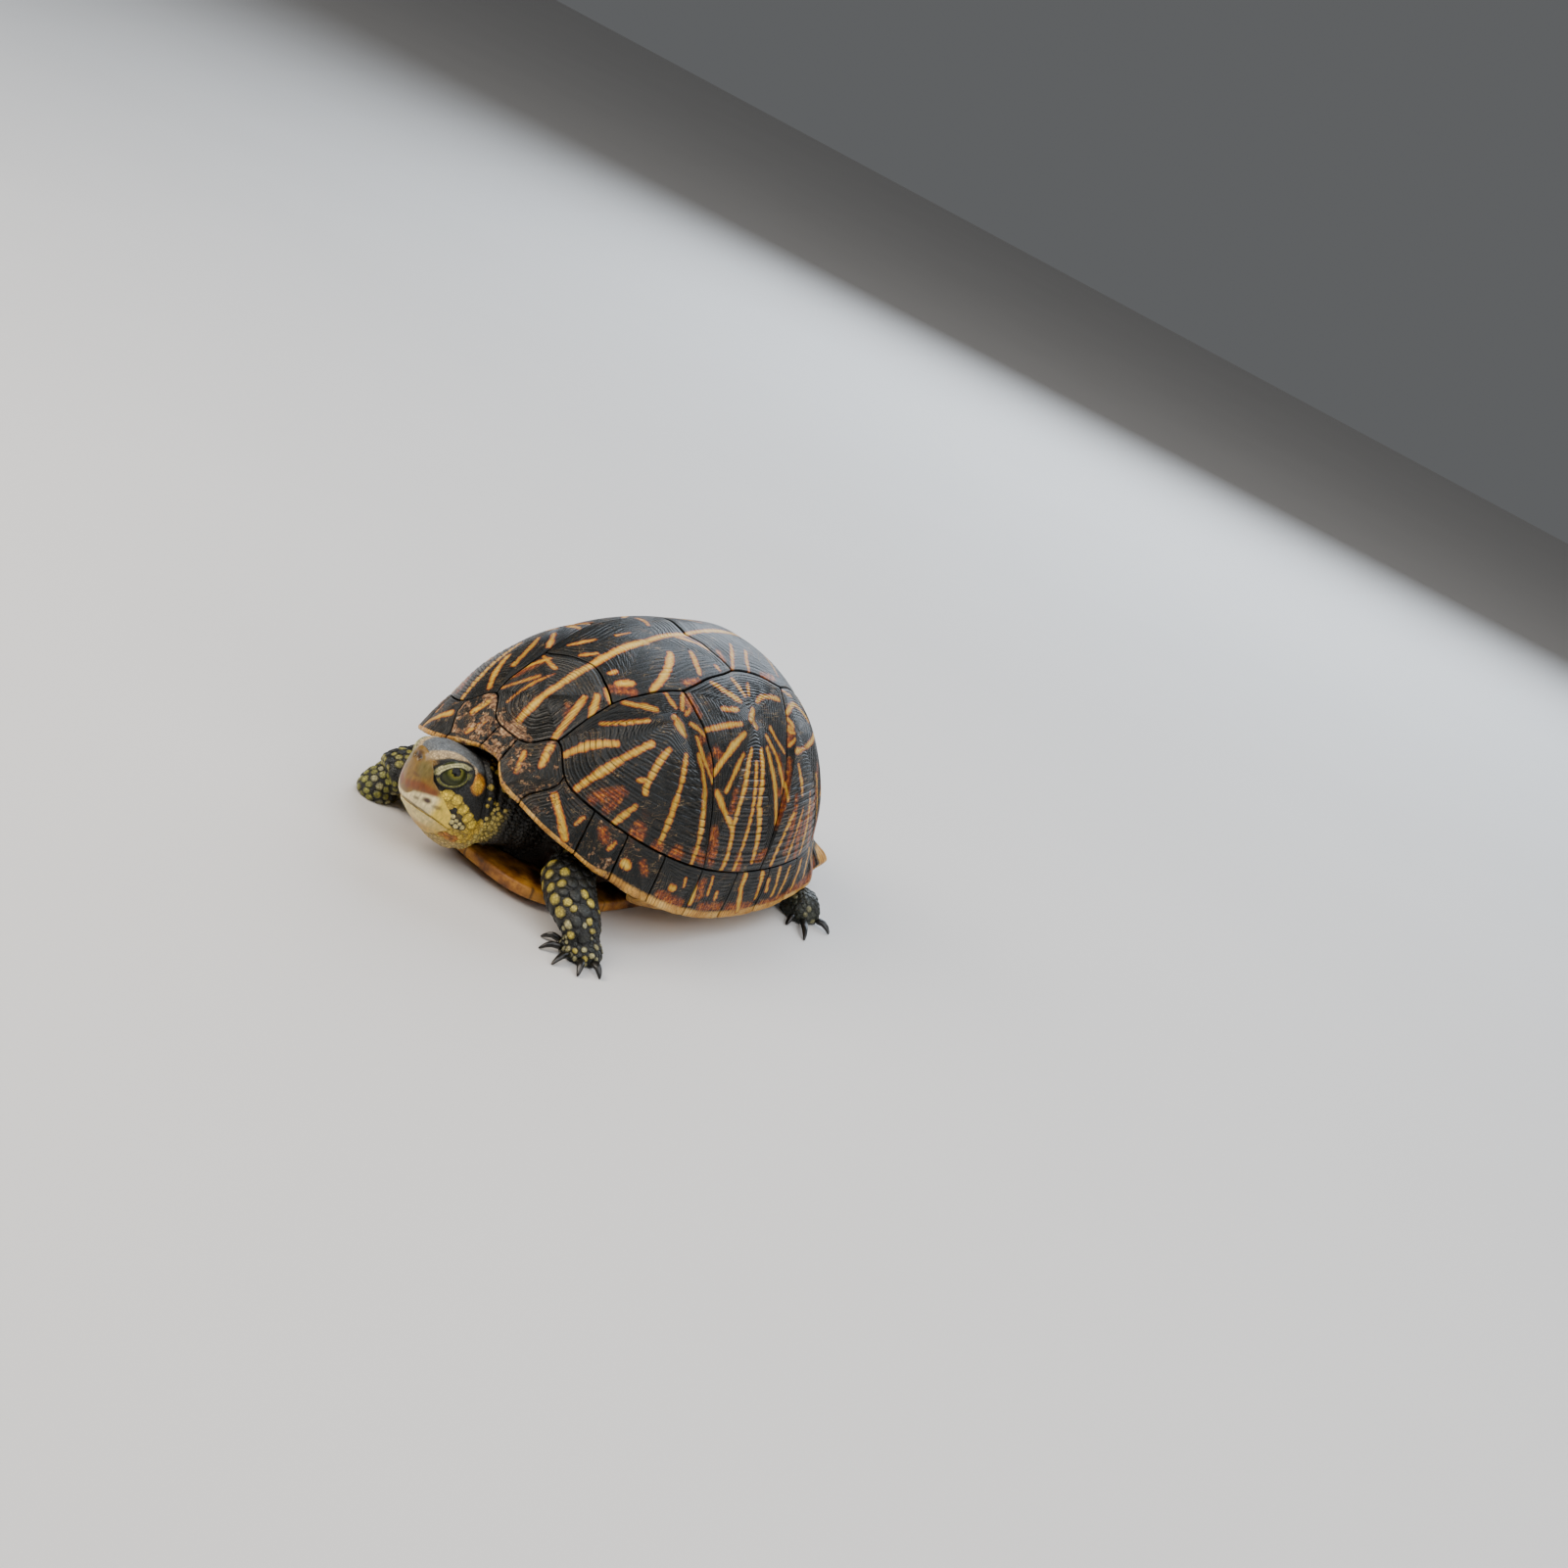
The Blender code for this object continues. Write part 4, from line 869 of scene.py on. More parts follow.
def rim_normal(degrees, fold, sign=1):
    run = rim(degrees + 0.25, fold, sign) - rim(degrees - 0.25, fold, sign)
    across = (rim(degrees, np.minimum(fold + 0.01, 1), sign)
              - rim(degrees, np.maximum(fold - 0.01, 0), sign))
    return unit(np.cross(across, run))


print("lip at 90 degrees, mm:", rim(np.array(90.0), np.array(LIP_AT)).round(1))

# %% [markdown]
# ## Marginals and nuchal
#
# Twelve marginals a side and the small nuchal between the first two.  Each is a sphere
# moved to the folded strip.  Their growth steps start at the rear lower corner, as on the
# real animal, so they run level along the flank.  The first pair and the nuchal are worn.

# %% The rim scutes
RIM_SEGMENTS = 132
RIM_BANDS = 7
SEAM_GAP = 0.14  # degrees from a seam to the marginal's edge
FOLD_STRETCH = 24.0  # makes the fold coordinate as long as degrees are
RIM_ROLL_DROP = 0.36
RIM_UNDERSIDE = [(0.99, -0.9), (0.96, -1.25), (0.6, -1.3), (0.3, -1.3), (0.0, -1.3)]
RIM_WEAR = {"left": (0.43, 0.36, 0.33, 0.34, 0.31), "right": (0.43, 0.42, 0.33, 0.34, 0.31)}
# degrees and distance from the disk's centre, with a width in mm
RIM_YELLOW = {
    1: [(2.2, (15.8, .8), (17.2, .869)), (1.4, (10, .88), (12, .94))],
    2: [(2.2, (25.6, .91), (30, .945), (33.8, .985)), (1, (35.5, .9), (34.5, .93))],
    3: [(1.4, (46, .905), (45, .93))], 4: [(2.6, (50.6, .938), (51.8, .94))],
    5: [(2.2, (66.4, .938), (67.4, .938)), (1, (70, .9), (70.5, .92))],
    6: [(2.1, (73.5, .869), (75.8, .963)), (1.8, (84, .925), (84.4, .937)),
        (1.4, (80, .88), (80.6, .93))],
    7: [(2.1, (93.8, .838), (93.8, .912), (96.8, .985)), (1.6, (101, .87), (102, .95))],
    8: [(1.6, (105, .9), (105.8, .935)), (1.7, (114, .88), (112.5, .975)),
        (1.6, (109, .87), (109.5, .96))],
    9: [(1.7, (121, .88), (120, .97)), (1.6, (127.5, .87), (126.5, .96))],
    10: [(1.7, (134.5, .88), (134, .97)), (1.5, (138.5, .88), (138.2, .94))],
    11: [(1.7, (147, .88), (147.5, .99)), (1.6, (156, .88), (155.5, .96))],
    12: [(1.8, (169, .88), (168, .97)), (1.5, (176, .88), (175.6, .95))],
}
RIM_RUSTY = {
    3: [(2.6, (41.6, .895), (43.2, .91))], 4: [(1.8, (55, .91), (57, .93))],
    5: [(3, (64, .97), (72, .975))], 6: [(2.4, (80, .97), (88, .965)), (2.4, (77, .9), (78, .94))],
    7: [(2.4, (92, .97), (101, .975))], 8: [(3, (106, .985), (116, .985))],
    9: [(4.2, (119, .985), (131, .985))], 10: [(4.2, (133, .985), (140, .985))],
    11: [(4.6, (143, .99), (149, 1)), (3, (150, .98), (161, .98))],
    12: [(2.6, (165, .98), (178, .98))],
}


def rim_streaks(rows, sign):
    """Rows of a table as runs of places on the shell's left or right."""
    streaks = []
    for width, *places in rows:
        run = []
        for (d0, r0), (d1, r1) in zip(places, places[1:]):
            for share in np.linspace(0, 1, 5):
                turn = sign * math.radians(d0 + (d1 - d0) * share)
                rho = r0 + (r1 - r0) * share
                run.append((dome(np.array(rho * math.cos(turn)), np.array(rho * math.sin(turn))),
                            width / 2))
        streaks.append(run)
    return streaks


def rim_piece(name, first, last, side, number):
    """The marginal of this number, from the first degree to the last; 0 is the nuchal."""
    sign = 1 if side == "left" else -1
    seed = number * 1.3 + (sign < 0) * 4
    low, high = first + SEAM_GAP, last - SEAM_GAP
    corners = [(low, 0.0), (high, 0.0), (high, 1.0), (low, 1.0)]
    dense = np.concatenate([np.linspace(a, b, 50, endpoint=False)
                            for a, b in zip(corners, corners[1:] + corners[:1])])
    outline = evenly_spaced(dense * [1.0, FOLD_STRETCH]) / [1.0, FOLD_STRETCH]
    areola = np.array([first + (last - first) * 0.72, LIP_AT - 0.10])
    if number == 0:
        areola = np.array([0.0, LIP_AT - 0.08])
    edges = [0.22 + 0.78 * (k / RIM_BANDS) + 0.016 * math.sin(4.3 * k + seed) * (0 < k < RIM_BANDS)
             for k in range(RIM_BANDS + 1)]
    shares, profile = flight_of_steps((0.0, 0.08, 0.16), edges)
    rows = len(shares) + ROLL_ROWS + len(RIM_UNDERSIDE) - 1
    item, segment, row = sphere_to_shape(name, RIM_SEGMENTS, rows)
    edge = around(outline, segment / RIM_SEGMENTS)
    reach = np.linalg.norm(rim(edge[:, 0], edge[:, 1], sign) - rim(*areola.reshape(2, 1), sign),
                           axis=1)
    reach = np.maximum(reach, 1.5)
    share, rolled, below = plate_rows(row, shares, np.minimum(0.6, 0.3 * reach) / reach,
                                      RIM_UNDERSIDE)
    degrees, fold = (areola + (edge - areola) * share[:, None]).T
    groove = np.where(row < len(shares), profile[np.minimum(row, len(shares) - 1)], 0.0)
    on_top = ease(LIP_AT + 0.2, LIP_AT - 0.05, fold)
    wander = ripple(degrees / 20, fold * 2, 9, seed)
    strength = 0.16 * (0.8 + 0.5 * wander) * ease(0.15, 0.5, share) * (0.3 + 0.7 * on_top)
    lift = 0.3 * (1 - share ** 2) * on_top + groove * strength
    lift += 0.10 * ripple(degrees / 14, fold * 2, 11, seed + 3)
    lift = closed_lift(lift, rolled, RIM_ROLL_DROP, below, RIM_UNDERSIDE)
    base = rim(degrees, fold, sign)
    points = base + rim_normal(degrees, fold, sign) * lift[:, None]
    points[:, 2] = np.maximum(points[:, 2], 0.3)
    place_vertices(item, points * [sign, 1, 1])
    ray, rust = (streak_field(base * [sign, 1, 1], rim_streaks(table.get(number, []), sign))
                 for table in (RIM_YELLOW, RIM_RUSTY))
    flank = ease(40, 52, degrees) * ease(150, 100, degrees)
    band = ease(LIP_AT - 0.14 * flank - 0.03, LIP_AT + 0.01, fold)
    spur = ease(2.5, 6.0, -np.interp(degrees, NOTCH_PLACES, NOTCH_DEPTHS))
    wear = RIM_WEAR[side][number] if number < len(RIM_WEAR[side]) else 0.2
    add_attributes(item, ray=ray, rust=rust, seam_mm=(1 - share) * reach * (below < 0),
                   groove=np.where(groove < -0.9, strength / 0.3, 0.0), etch=0.6,
                   tan=np.maximum(band, spur * ease(0.25, 0.5, fold)),
                   wear=wear * (fold < LIP_AT + 0.1))
    face_outward(item)
    return item


rim_horn = horn_material("weathered rim horn", 0.4, 0.34, 0.52)
nuchal = rim_piece("horn_nuchal", -NUCHAL_HALF, NUCHAL_HALF, "left", 0)
finish_piece(nuchal, rim_horn, ["nuchal"])
for side in ("left", "right"):
    for number, (first, last) in enumerate(zip(RIM_SEAMS, RIM_SEAMS[1:]), start=1):
        marginal = rim_piece(f"marginal_{side}_{number}", first, last, side, number)
        end = "front" if last <= 75.0 else "rear"
        finish_piece(marginal, rim_horn, [f"marginals_{side}_{end}"])
print("rim scutes:", 1 + 2 * (len(RIM_SEAMS) - 1))

# %% [markdown]
# ## Plastron
#
# The belly is two hinged lobes of pale tan horn with dark clouds, each divided by seams.
# They lie flat on the floor, only the front lobe turns up a little.  They are made like the
# scutes, with the face down, and the seams between their scutes are grooves in that face.

# %% The two lobes
HINGE_Y = -10.0
FRONT_LOBE_RISE = 2.6
LOBE_SEGMENTS, FACE_ROWS = 200, 45
# the face's last row is at 0.97 of the way; then share and height, mm, round to the top
LOBE_EDGE = [(0.985, 0.12), (0.995, 0.4), (1.0, 0.9), (1.0, 2.6), (0.992, 3.3), (0.975, 3.6),
             (0.85, 3.6), (0.6, 3.6), (0.4, 3.6), (0.2, 3.6), (0.1, 3.6), (0.0, 3.6)]
# y at the middle of each cross seam, and how far it runs back at the sides, in mm
CROSS_SEAMS = [(-49.0, -7.0), (-31.0, 2.0), (22.0, -3.0), (44.0, 6.0)]


def plastron_floor(y):
    return FRONT_LOBE_RISE * ease(22.0, FRONT_LOBE, -y) ** 1.3


def plastron_piece(name, toward):
    """One lobe; toward is -1 for the front one and 1 for the rear one."""
    hinge = HINGE_Y + toward * 0.15
    length = FRONT_LOBE if toward < 0 else REAR_LOBE
    ys = hinge + (toward * length - hinge) * np.sin(np.linspace(0, math.pi / 2, 80))
    arc = np.stack([plastron_half_width(ys), ys], axis=1)
    far = arc[::-1] * [-1, 1]
    base = np.stack([np.linspace(far[-1, 0], arc[0, 0], 40), np.full(40, hinge)], axis=1)
    outline = evenly_spaced(np.concatenate([arc, far[1:], base[1:-1]]))
    centre = np.array([0.0, hinge + toward * 24.0])
    levels = [(k / (FACE_ROWS - 1) * 0.97, 0.0) for k in range(FACE_ROWS)] + LOBE_EDGE
    item, segment, row = sphere_to_shape(name, LOBE_SEGMENTS, len(levels) - 1)
    edge = around(outline, segment / LOBE_SEGMENTS)
    share, lift = np.array(levels)[row].T
    x, y = (centre + (edge - centre) * share[:, None]).T
    to_seam = np.abs(x)
    for middle, sweep in CROSS_SEAMS:
        seam_y = middle + sweep * (np.abs(x) / LOBE_HALF) ** 1.5
        to_seam = np.minimum(to_seam, np.abs(y - seam_y))
    below = row < FACE_ROWS
    groove = np.exp(-(to_seam / 0.45) ** 2) * below
    rise = plastron_floor(y) + lift + 0.35 * groove + 0.06 * (1 + ripple(x, y, 0.5, 3)) * below
    place_vertices(item, np.stack([x, y, rise], axis=1))
    add_attributes(item, to_seam=to_seam)
    face_outward(item)
    return item


# %% [markdown]
# The plastron's horn is thin and pale over the bone: a satin tan, clouded with brown that
# gathers towards the middle of each scute, paler beside the seams and dark along each seam.

# %% Plastron horn
belly_horn = start_material("satin plastron horn", {"Roughness": 0.45, "IOR": 1.5})
place = node(belly_horn, "TexCoord", output="Object")
cloud = node(belly_horn, "TexNoise", {"Vector": place, "Scale": 1 / (9 * MM), "Detail": 6.0,
                                      "Roughness": 0.62}, "Fac")
grain = node(belly_horn, "TexNoise", {"Vector": place, "Scale": 1 / (0.8 * MM), "Detail": 4.0}, "Fac")
to_seam = node(belly_horn, "Attribute", output="Fac", attribute_name="to_seam")
share = node(belly_horn, "MapRange", [to_seam, 0.0, 7.0, -0.10, 0.10])
tint = node(belly_horn, "Math", [cloud, share], operation="ADD")
colour = node(belly_horn, "ValToRGB", {"Fac": tint},
              stops=[(0.30, "#d39f48"), (0.46, "#c08430"), (0.58, "#8a541a"), (0.70, "#331a0b")])
line = node(belly_horn, "MapRange", [to_seam, 0.15, 0.6, 0.3, 1.0])
colour = node(belly_horn, "Mix", {0: 1.0, 6: colour, 7: line}, 2, data_type="RGBA",
              blend_type="MULTIPLY")
feed(belly_horn, "Base Color", colour)
feed(belly_horn, "Roughness", node(belly_horn, "MapRange", [grain, 0.3, 0.7, 0.36, 0.58]))
feed(belly_horn, "Normal", node(belly_horn, "Bump", {"Height": grain, "Distance": 0.1 * MM}))
for name, toward in (("plastron_front", -1), ("plastron_rear", 1)):
    finish_piece(plastron_piece("horn_" + name, toward), belly_horn, [name])
print("plastron lobes done")

# %% [markdown]
# ## One skin
#
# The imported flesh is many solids, but a real skin has no joints.  So their copies are joined,
# remeshed into one surface with voxels and smoothed.  The eyeballs go in a little swollen,
# because closed lids are skin drawn over a ball, and the beak a little shrunk, so that skin
# runs under its edge.  The lids are opened afterwards.

# %% Join and remesh the flesh
SIDES = ("left", "right")
LIMBS = [f"{part}_{side}" for part in ("foreleg", "hindleg") for side in SIDES]
FLESH = ["trunk", "neck", "head", "tail"] + LIMBS + [n.replace("leg", "foot") for n in LIMBS]
VOXEL = 0.62  # mm
LID = 0.42  # thickness of a lid, mm
EYE_RADIUS = 4.3


def middle(name):
    low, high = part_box(name)
    return (low + high) / 2


def fattened_copy(name, millimetres, about=None):
    """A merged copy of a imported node, its surface moved out, or scaled about a point."""
    item = bpy.data.objects.new("copy_" + name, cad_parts[name].data.copy())
    bpy.context.scene.collection.objects.link(item)
    select(item)
    bpy.ops.object.mode_set(mode="EDIT")
    bpy.ops.mesh.select_all(action="SELECT")
    bpy.ops.mesh.remove_doubles(threshold=0.01 * MM)
    if about is None and millimetres:
        bpy.ops.transform.shrink_fatten(value=millimetres * MM)
    bpy.ops.object.mode_set(mode="OBJECT")
    if about is not None:
        grow = 1 + millimetres / EYE_RADIUS
        item.data.transform(Matrix.Translation(about) @ Matrix.Scale(grow, 4)
                            @ Matrix.Translation(-about))
    return item


def apply_modifier(item, kind, **settings):
    select(item)
    modifier = item.modifiers.new(kind.lower(), kind)
    for name, value in settings.items():
        setattr(modifier, name, value)
    bpy.ops.object.modifier_apply(modifier=modifier.name)


copies = [fattened_copy(name, 0.2) for name in FLESH]
copies += [fattened_copy(f"eye_{side}", LID, middle(f"eye_{side}")) for side in SIDES]
copies += [fattened_copy(name, -0.35) for name in ("upper_beak", "lower_beak")]
select(*copies)
bpy.ops.object.join()
skin = bpy.context.object
skin.name = skin.data.name = "turtle_skin"
skin.data.materials.clear()
apply_modifier(skin, "REMESH", mode="VOXEL", voxel_size=VOXEL * MM)
apply_modifier(skin, "SMOOTH", factor=0.5, iterations=18)
print("skin after remeshing:", len(skin.data.polygons), "faces")

# %% [markdown]
# ## Where on the body a point is
#
# Folds, scales and colours depend on the part of the body, so every point gets a region and
# its distance along that part.  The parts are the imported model's centre lines.  The head
# has a frame of its own: x ahead, y to its left, z up.

# %% Regions
HEAD_CENTRE = Vector((-7.5, -67.2, 20.9))
HEAD_YAW, HEAD_PITCH, HEAD_ROLL = math.radians(-18), math.radians(-5), math.radians(7)
HEAD_FRAME = (Matrix.Translation(HEAD_CENTRE) @ Matrix.Rotation(HEAD_YAW - math.pi / 2, 4, "Z")
              @ Matrix.Rotation(HEAD_PITCH, 4, "Y") @ Matrix.Rotation(HEAD_ROLL, 4, "X"))
HEAD_INVERSE = np.array(HEAD_FRAME.inverted())
HEAD_FRAME = np.array(HEAD_FRAME)
EYE = np.array([5.2, 7.0, 6.2])  # the left eye's centre in the head frame
# x, y, z and radius along each part, from the root out
LINES = {
    "neck": [(4.5, -41.0, 18.8, 8.8), (4.0, -46.5, 19.2, 10.9), (1.2, -52.0, 19.6, 11.4),
             (-3.9, -58.0, 20.0, 10.9)],
    "head": [(-4.4, -57.7, 20.0, 12.6), (-7.5, -67.2, 20.3, 14.0), (-10.3, -76.2, 23.0, 10.5)],
    "tail": [(0.5, 54.0, 9.2, 5.0), (2.5, 62.0, 7.6, 3.3), (5.5, 69.0, 5.2, 2.3),
             (9.5, 74.0, 3.2, 1.0)],
    "foreleg_left": [(22.5, -37.0, 12.8, 5.0), (26.0, -45.0, 13.8, 6.7), (30.0, -50.8, 13.6, 7.4),
                     (36.0, -54.0, 11.2, 7.0), (42.0, -54.8, 8.0, 6.0), (46.0, -56.0, 4.0, 6.4)],
    "foreleg_right": [(-22.0, -36.0, 12.8, 5.0), (-26.0, -43.5, 13.0, 6.5), (-29.8, -51.0, 12.0, 7.5),
                      (-32.0, -58.0, 10.4, 7.1), (-36.0, -59.4, 5.0, 6.8)],
    "hindleg_left": [(17.0, 33.5, 10.6, 4.2), (24.5, 41.0, 8.9, 4.6), (33.0, 47.0, 5.8, 5.0),
                     (40.5, 49.6, 5.0, 5.0), (46.5, 50.4, 4.0, 6.6)],
    "hindleg_right": [(-17.0, 33.5, 10.6, 4.2), (-24.5, 41.0, 8.9, 4.6), (-31.5, 48.0, 5.8, 5.0),
                      (-37.5, 52.4, 5.0, 5.0), (-43.0, 55.0, 4.0, 6.6)],
}
PARTS = list(LINES)
SKIN_REACH = 2.6  # a point farther than this outside every part is inside the shell


def to_head(points):
    """From the world to the head's frame, both in millimetres."""
    return points @ HEAD_INVERSE[:3, :3].T + HEAD_INVERSE[:3, 3]


def from_head(points):
    """And back to the world."""
    return points @ HEAD_FRAME[:3, :3].T + HEAD_FRAME[:3, 3]


def both_sides(points):
    """The head frame with its right half folded onto its left."""
    return points * [1, 0, 1] + np.abs(points) * [0, 1, 0]


def is_part(part, *words):
    """Which points belong to a part whose name holds one of the words."""
    return np.isin(part, [PARTS.index(name) for name in PARTS if any(w in name for w in words)])


def regions(points):
    """Index into PARTS (-1 inside the shell), share along the part, its direction, and the gap."""
    best = np.full(len(points), 1e9)
    part = np.full(len(points), -1)
    along = np.zeros(len(points))
    lie = np.zeros((len(points), 3))
    for number, rows in enumerate(LINES.values()):
        line = np.array(rows)
        steps = np.linalg.norm(np.diff(line[:, :3], axis=0), axis=1)
        reached = np.concatenate([[0], np.cumsum(steps)])
        for k, step in enumerate(steps):
            start, end = line[k], line[k + 1]
            run = end[:3] - start[:3]
            share = np.clip((points - start[:3]) @ run / (run @ run), 0, 1)
            gap = np.linalg.norm(points - start[:3] - share[:, None] * run, axis=1)
            gap = gap - (start[3] + (end[3] - start[3]) * share)
            closer = gap < best
            best = np.where(closer, gap, best)
            part = np.where(closer, number, part)
            along = np.where(closer, (reached[k] + share * step) / reached[-1], along)
            lie = np.where(closer[:, None], run / step, lie)
    return np.where(best < SKIN_REACH, part, -1), along, lie, best


def mesh_arrays(item):
    """A mesh's points in millimetres and its normals."""
    count = len(item.data.vertices)
    points, normals = np.empty(count * 3), np.empty(count * 3)
    item.data.vertices.foreach_get("co", points)
    item.data.vertices.foreach_get("normal", normals)
    return points.reshape(-1, 3) / MM, normals.reshape(-1, 3)


# %% Thin out what the shell hides, and refine the face
points, _ = mesh_arrays(skin)
part, along, lie, gap = regions(points)
hidden = skin.vertex_groups.new(name="hidden")
far = (gap > 3.5) & (np.abs(points[:, 1]) < 50)
hidden.add([int(i) for i in np.nonzero(far)[0]], 1.0, "REPLACE")
apply_modifier(skin, "DECIMATE", ratio=0.30, vertex_group="hidden")
print("skin after thinning:", len(skin.data.polygons), "faces")


def refine(item, chosen):
    """Subdivide the faces around the chosen vertices once."""
    select(item)
    bpy.ops.object.mode_set(mode="EDIT")
    bpy.ops.mesh.select_mode(type="VERT")
    bpy.ops.mesh.select_all(action="DESELECT")
    bpy.ops.object.mode_set(mode="OBJECT")
    item.data.vertices.foreach_set("select", chosen)
    bpy.ops.object.mode_set(mode="EDIT")
    bpy.ops.mesh.subdivide(number_cuts=1, smoothness=0.0)
    bpy.ops.object.mode_set(mode="OBJECT")


head_points = to_head(mesh_arrays(skin)[0])
refine(skin, (head_points[:, 0] > -10.5) & (np.linalg.norm(head_points, axis=1) < 21.0))
face = both_sides(to_head(mesh_arrays(skin)[0]))
refine(skin, np.linalg.norm(face - EYE, axis=1) < 5.9)
print("skin refined:", len(skin.data.polygons), "faces")

# %% [markdown]
# ## Sculpting the face
#
# The remeshed head is a plain form with two swellings for the eyes.  Ridges, furrows and
# lids are now pushed out of it in code, each as a soft line in the head's frame: the brow
# that runs to the nostril, the furrow that rings the orbit, two folds in each lid, the
# cheek, and the thick collar of skin into which the head draws back.

# %% Tools for sculpting
def line_distance(points, line):
    """Distance from each point to a polyline."""
    best = np.full(len(points), 1e9)
    for start, end in zip(np.array(line, float), np.array(line[1:], float)):
        run = end - start
        share = np.clip((points - start) @ run / (run @ run), 0, 1)
        best = np.minimum(best, np.linalg.norm(points - start - share[:, None] * run, axis=1))
    return best


def bump_along(points, line, width, height):
    """A soft ridge of that height along a polyline, or a furrow if it is negative."""
    return height * np.exp(-(line_distance(points, line) / width) ** 2)


EYE_OUT = unit(np.array([0.34, 0.90, 0.22]))  # where the opening faces
LEVEL = np.array([0.81, -0.33, -0.45])  # the opening's long way, nose side down
EYE_AHEAD = unit(LEVEL - EYE_OUT * (LEVEL @ EYE_OUT))
EYE_UP = np.cross(EYE_OUT, EYE_AHEAD) * np.sign(np.cross(EYE_OUT, EYE_AHEAD)[2])
OPENING = (3.65, 2.35)  # half length and half height of the lids' opening, mm
OPENING_DROP = 0.35  # its middle lies this far below the eye's
LID_EDGE = 1.75  # how far the lids reach outside the opening


def eye_map(points):
    """Along, up and out from the eye's centre, and how far outside the opening (0 = margin)."""
    offset = both_sides(points) - EYE
    ahead, up, out = offset @ EYE_AHEAD, offset @ EYE_UP, offset @ EYE_OUT
    reach = np.sqrt((ahead / OPENING[0]) ** 2 + ((up + OPENING_DROP) / OPENING[1]) ** 2)
    return ahead, up, out, (reach - 1) * OPENING[1]


BROW = [(12.4, 1.6, 8.1), (11.2, 3.4, 9.0), (9.8, 4.7, 10.0), (7.9, 5.3, 10.9), (5.9, 6.0, 11.2),
        (4.1, 7.1, 11.0), (2.7, 8.0, 10.5), (0.6, 9.2, 9.2)]
UNDER_EYE = [(10.6, 6.9, 3.6), (9.2, 8.7, 1.9), (6.8, 10.2, 0.9), (3.8, 11.2, 2.0)]
GAPE = [(2.9, 9.9, -7.8), (0.9, 10.6, -8.2), (-0.7, 11.0, -8.4), (-3.8, 11.2, -8.8)]
JAW_FOLD = [(4.0, 6.4, -12.2), (0.0, 9.2, -12.0), (-4.2, 10.6, -11.0)]
COLLAR = -4.8  # where the collar of loose skin begins, head frame x
COLLAR_LEAN = 1.7  # and how much farther back it lies at the throat


def behind_collar(head):
    """How far behind the collar's edge a point in the head frame is, mm."""
    return COLLAR - COLLAR_LEAN * ease(2.5, -3.0, head[:, 2]) - head[:, 0]


def throat_height(head):
    """Height over the line, falling forwards, that parts the throat from the neck."""
    return head[:, 2] + 0.35 * (head[:, 0] + 8)


# %% Sculpt the head
points, normals = mesh_arrays(skin)
head_points = to_head(points)
face = both_sides(head_points)
nearby = ease(24.0, 18.0, np.linalg.norm(head_points, axis=1))
push = bump_along(face, BROW[1:], 0.95, 0.55)
push -= bump_along(face, UNDER_EYE, 0.5, 0.30)
push -= bump_along(face, GAPE, 0.45, 0.45)
push += bump_along(face, [(x, y, z + 1.4) for x, y, z in GAPE], 0.9, 0.25)
push -= bump_along(face, JAW_FOLD, 0.5, 0.40)
behind = behind_collar(head_points)
sag = 0.7 * ease(-2, 8, -head_points[:, 2])
wave = ripple(head_points[:, 1], head_points[:, 2], 0.33, 7)
collar = ease(-0.25, 0.45, behind + 0.6 * wave) * (0.75 + 0.35 * sag)
furrow = 0.55 * np.exp(-((behind + 0.6 * wave + 0.55) / 0.35) ** 2)
rolls = 0.28 * np.sin(2 * math.pi * (behind + 1.2 * wave) / 3.1) * ease(0.8, 2.5, behind)
push += (collar + rolls) * ease(19.0, 9.0, behind) * (behind > -0.9) - furrow
push *= nearby

ahead, up, out, margin = eye_map(head_points)
centre_gap = np.linalg.norm(face - EYE, axis=1)
in_orbit = (out > 0.2) & (centre_gap < EYE_RADIUS + 1.5) & (margin < LID_EDGE)
push -= 0.42 * np.exp(-((margin - LID_EDGE) / 0.34) ** 2) * (centre_gap < 6.4) * (out > -0.6)
points += normals * push[:, None]

# %% Open the lids
BEHIND_EYE = 3.6  # radius at which skin in the opening hides inside the eyeball
head_points = to_head(points)
offset = both_sides(head_points) - EYE
folds = np.where(up > 0, 0.13 * np.cos(2 * math.pi * (margin - 0.15) / 0.9),
                 0.16 * np.cos(2 * math.pi * (margin - 0.1) / 0.62))
lid = EYE_RADIUS + LID - 0.1 + folds * ease(0.12, 0.5, margin)
lid -= 0.5 * ease(0.9, LID_EDGE, margin)
rounded = EYE_RADIUS + 0.06 + (LID - 0.16) * np.sqrt(ease(-0.02, 0.28, margin))
radius = np.where(margin < 0.28, rounded, lid)
radius = np.where(margin < 0, BEHIND_EYE, radius)
reach = np.linalg.norm(offset, axis=1)
wanted = reach + (radius - reach) * ease(LID_EDGE, 1.25, margin)
moved = EYE + unit(offset) * wanted[:, None]
moved[:, 1] *= np.sign(head_points[:, 1])
points = np.where(in_orbit[:, None], from_head(moved), points)
place_vertices(skin, points)
print("opened lids:", int(in_orbit.sum()), "vertices")

# %% [markdown]
# ## Folds of the limbs and clearance
#
# Skin hangs in creases where a limb leaves the shell.  All but the head's is pulled in by
# the depth of the scales that will cover it.  Nothing may come through the floor.

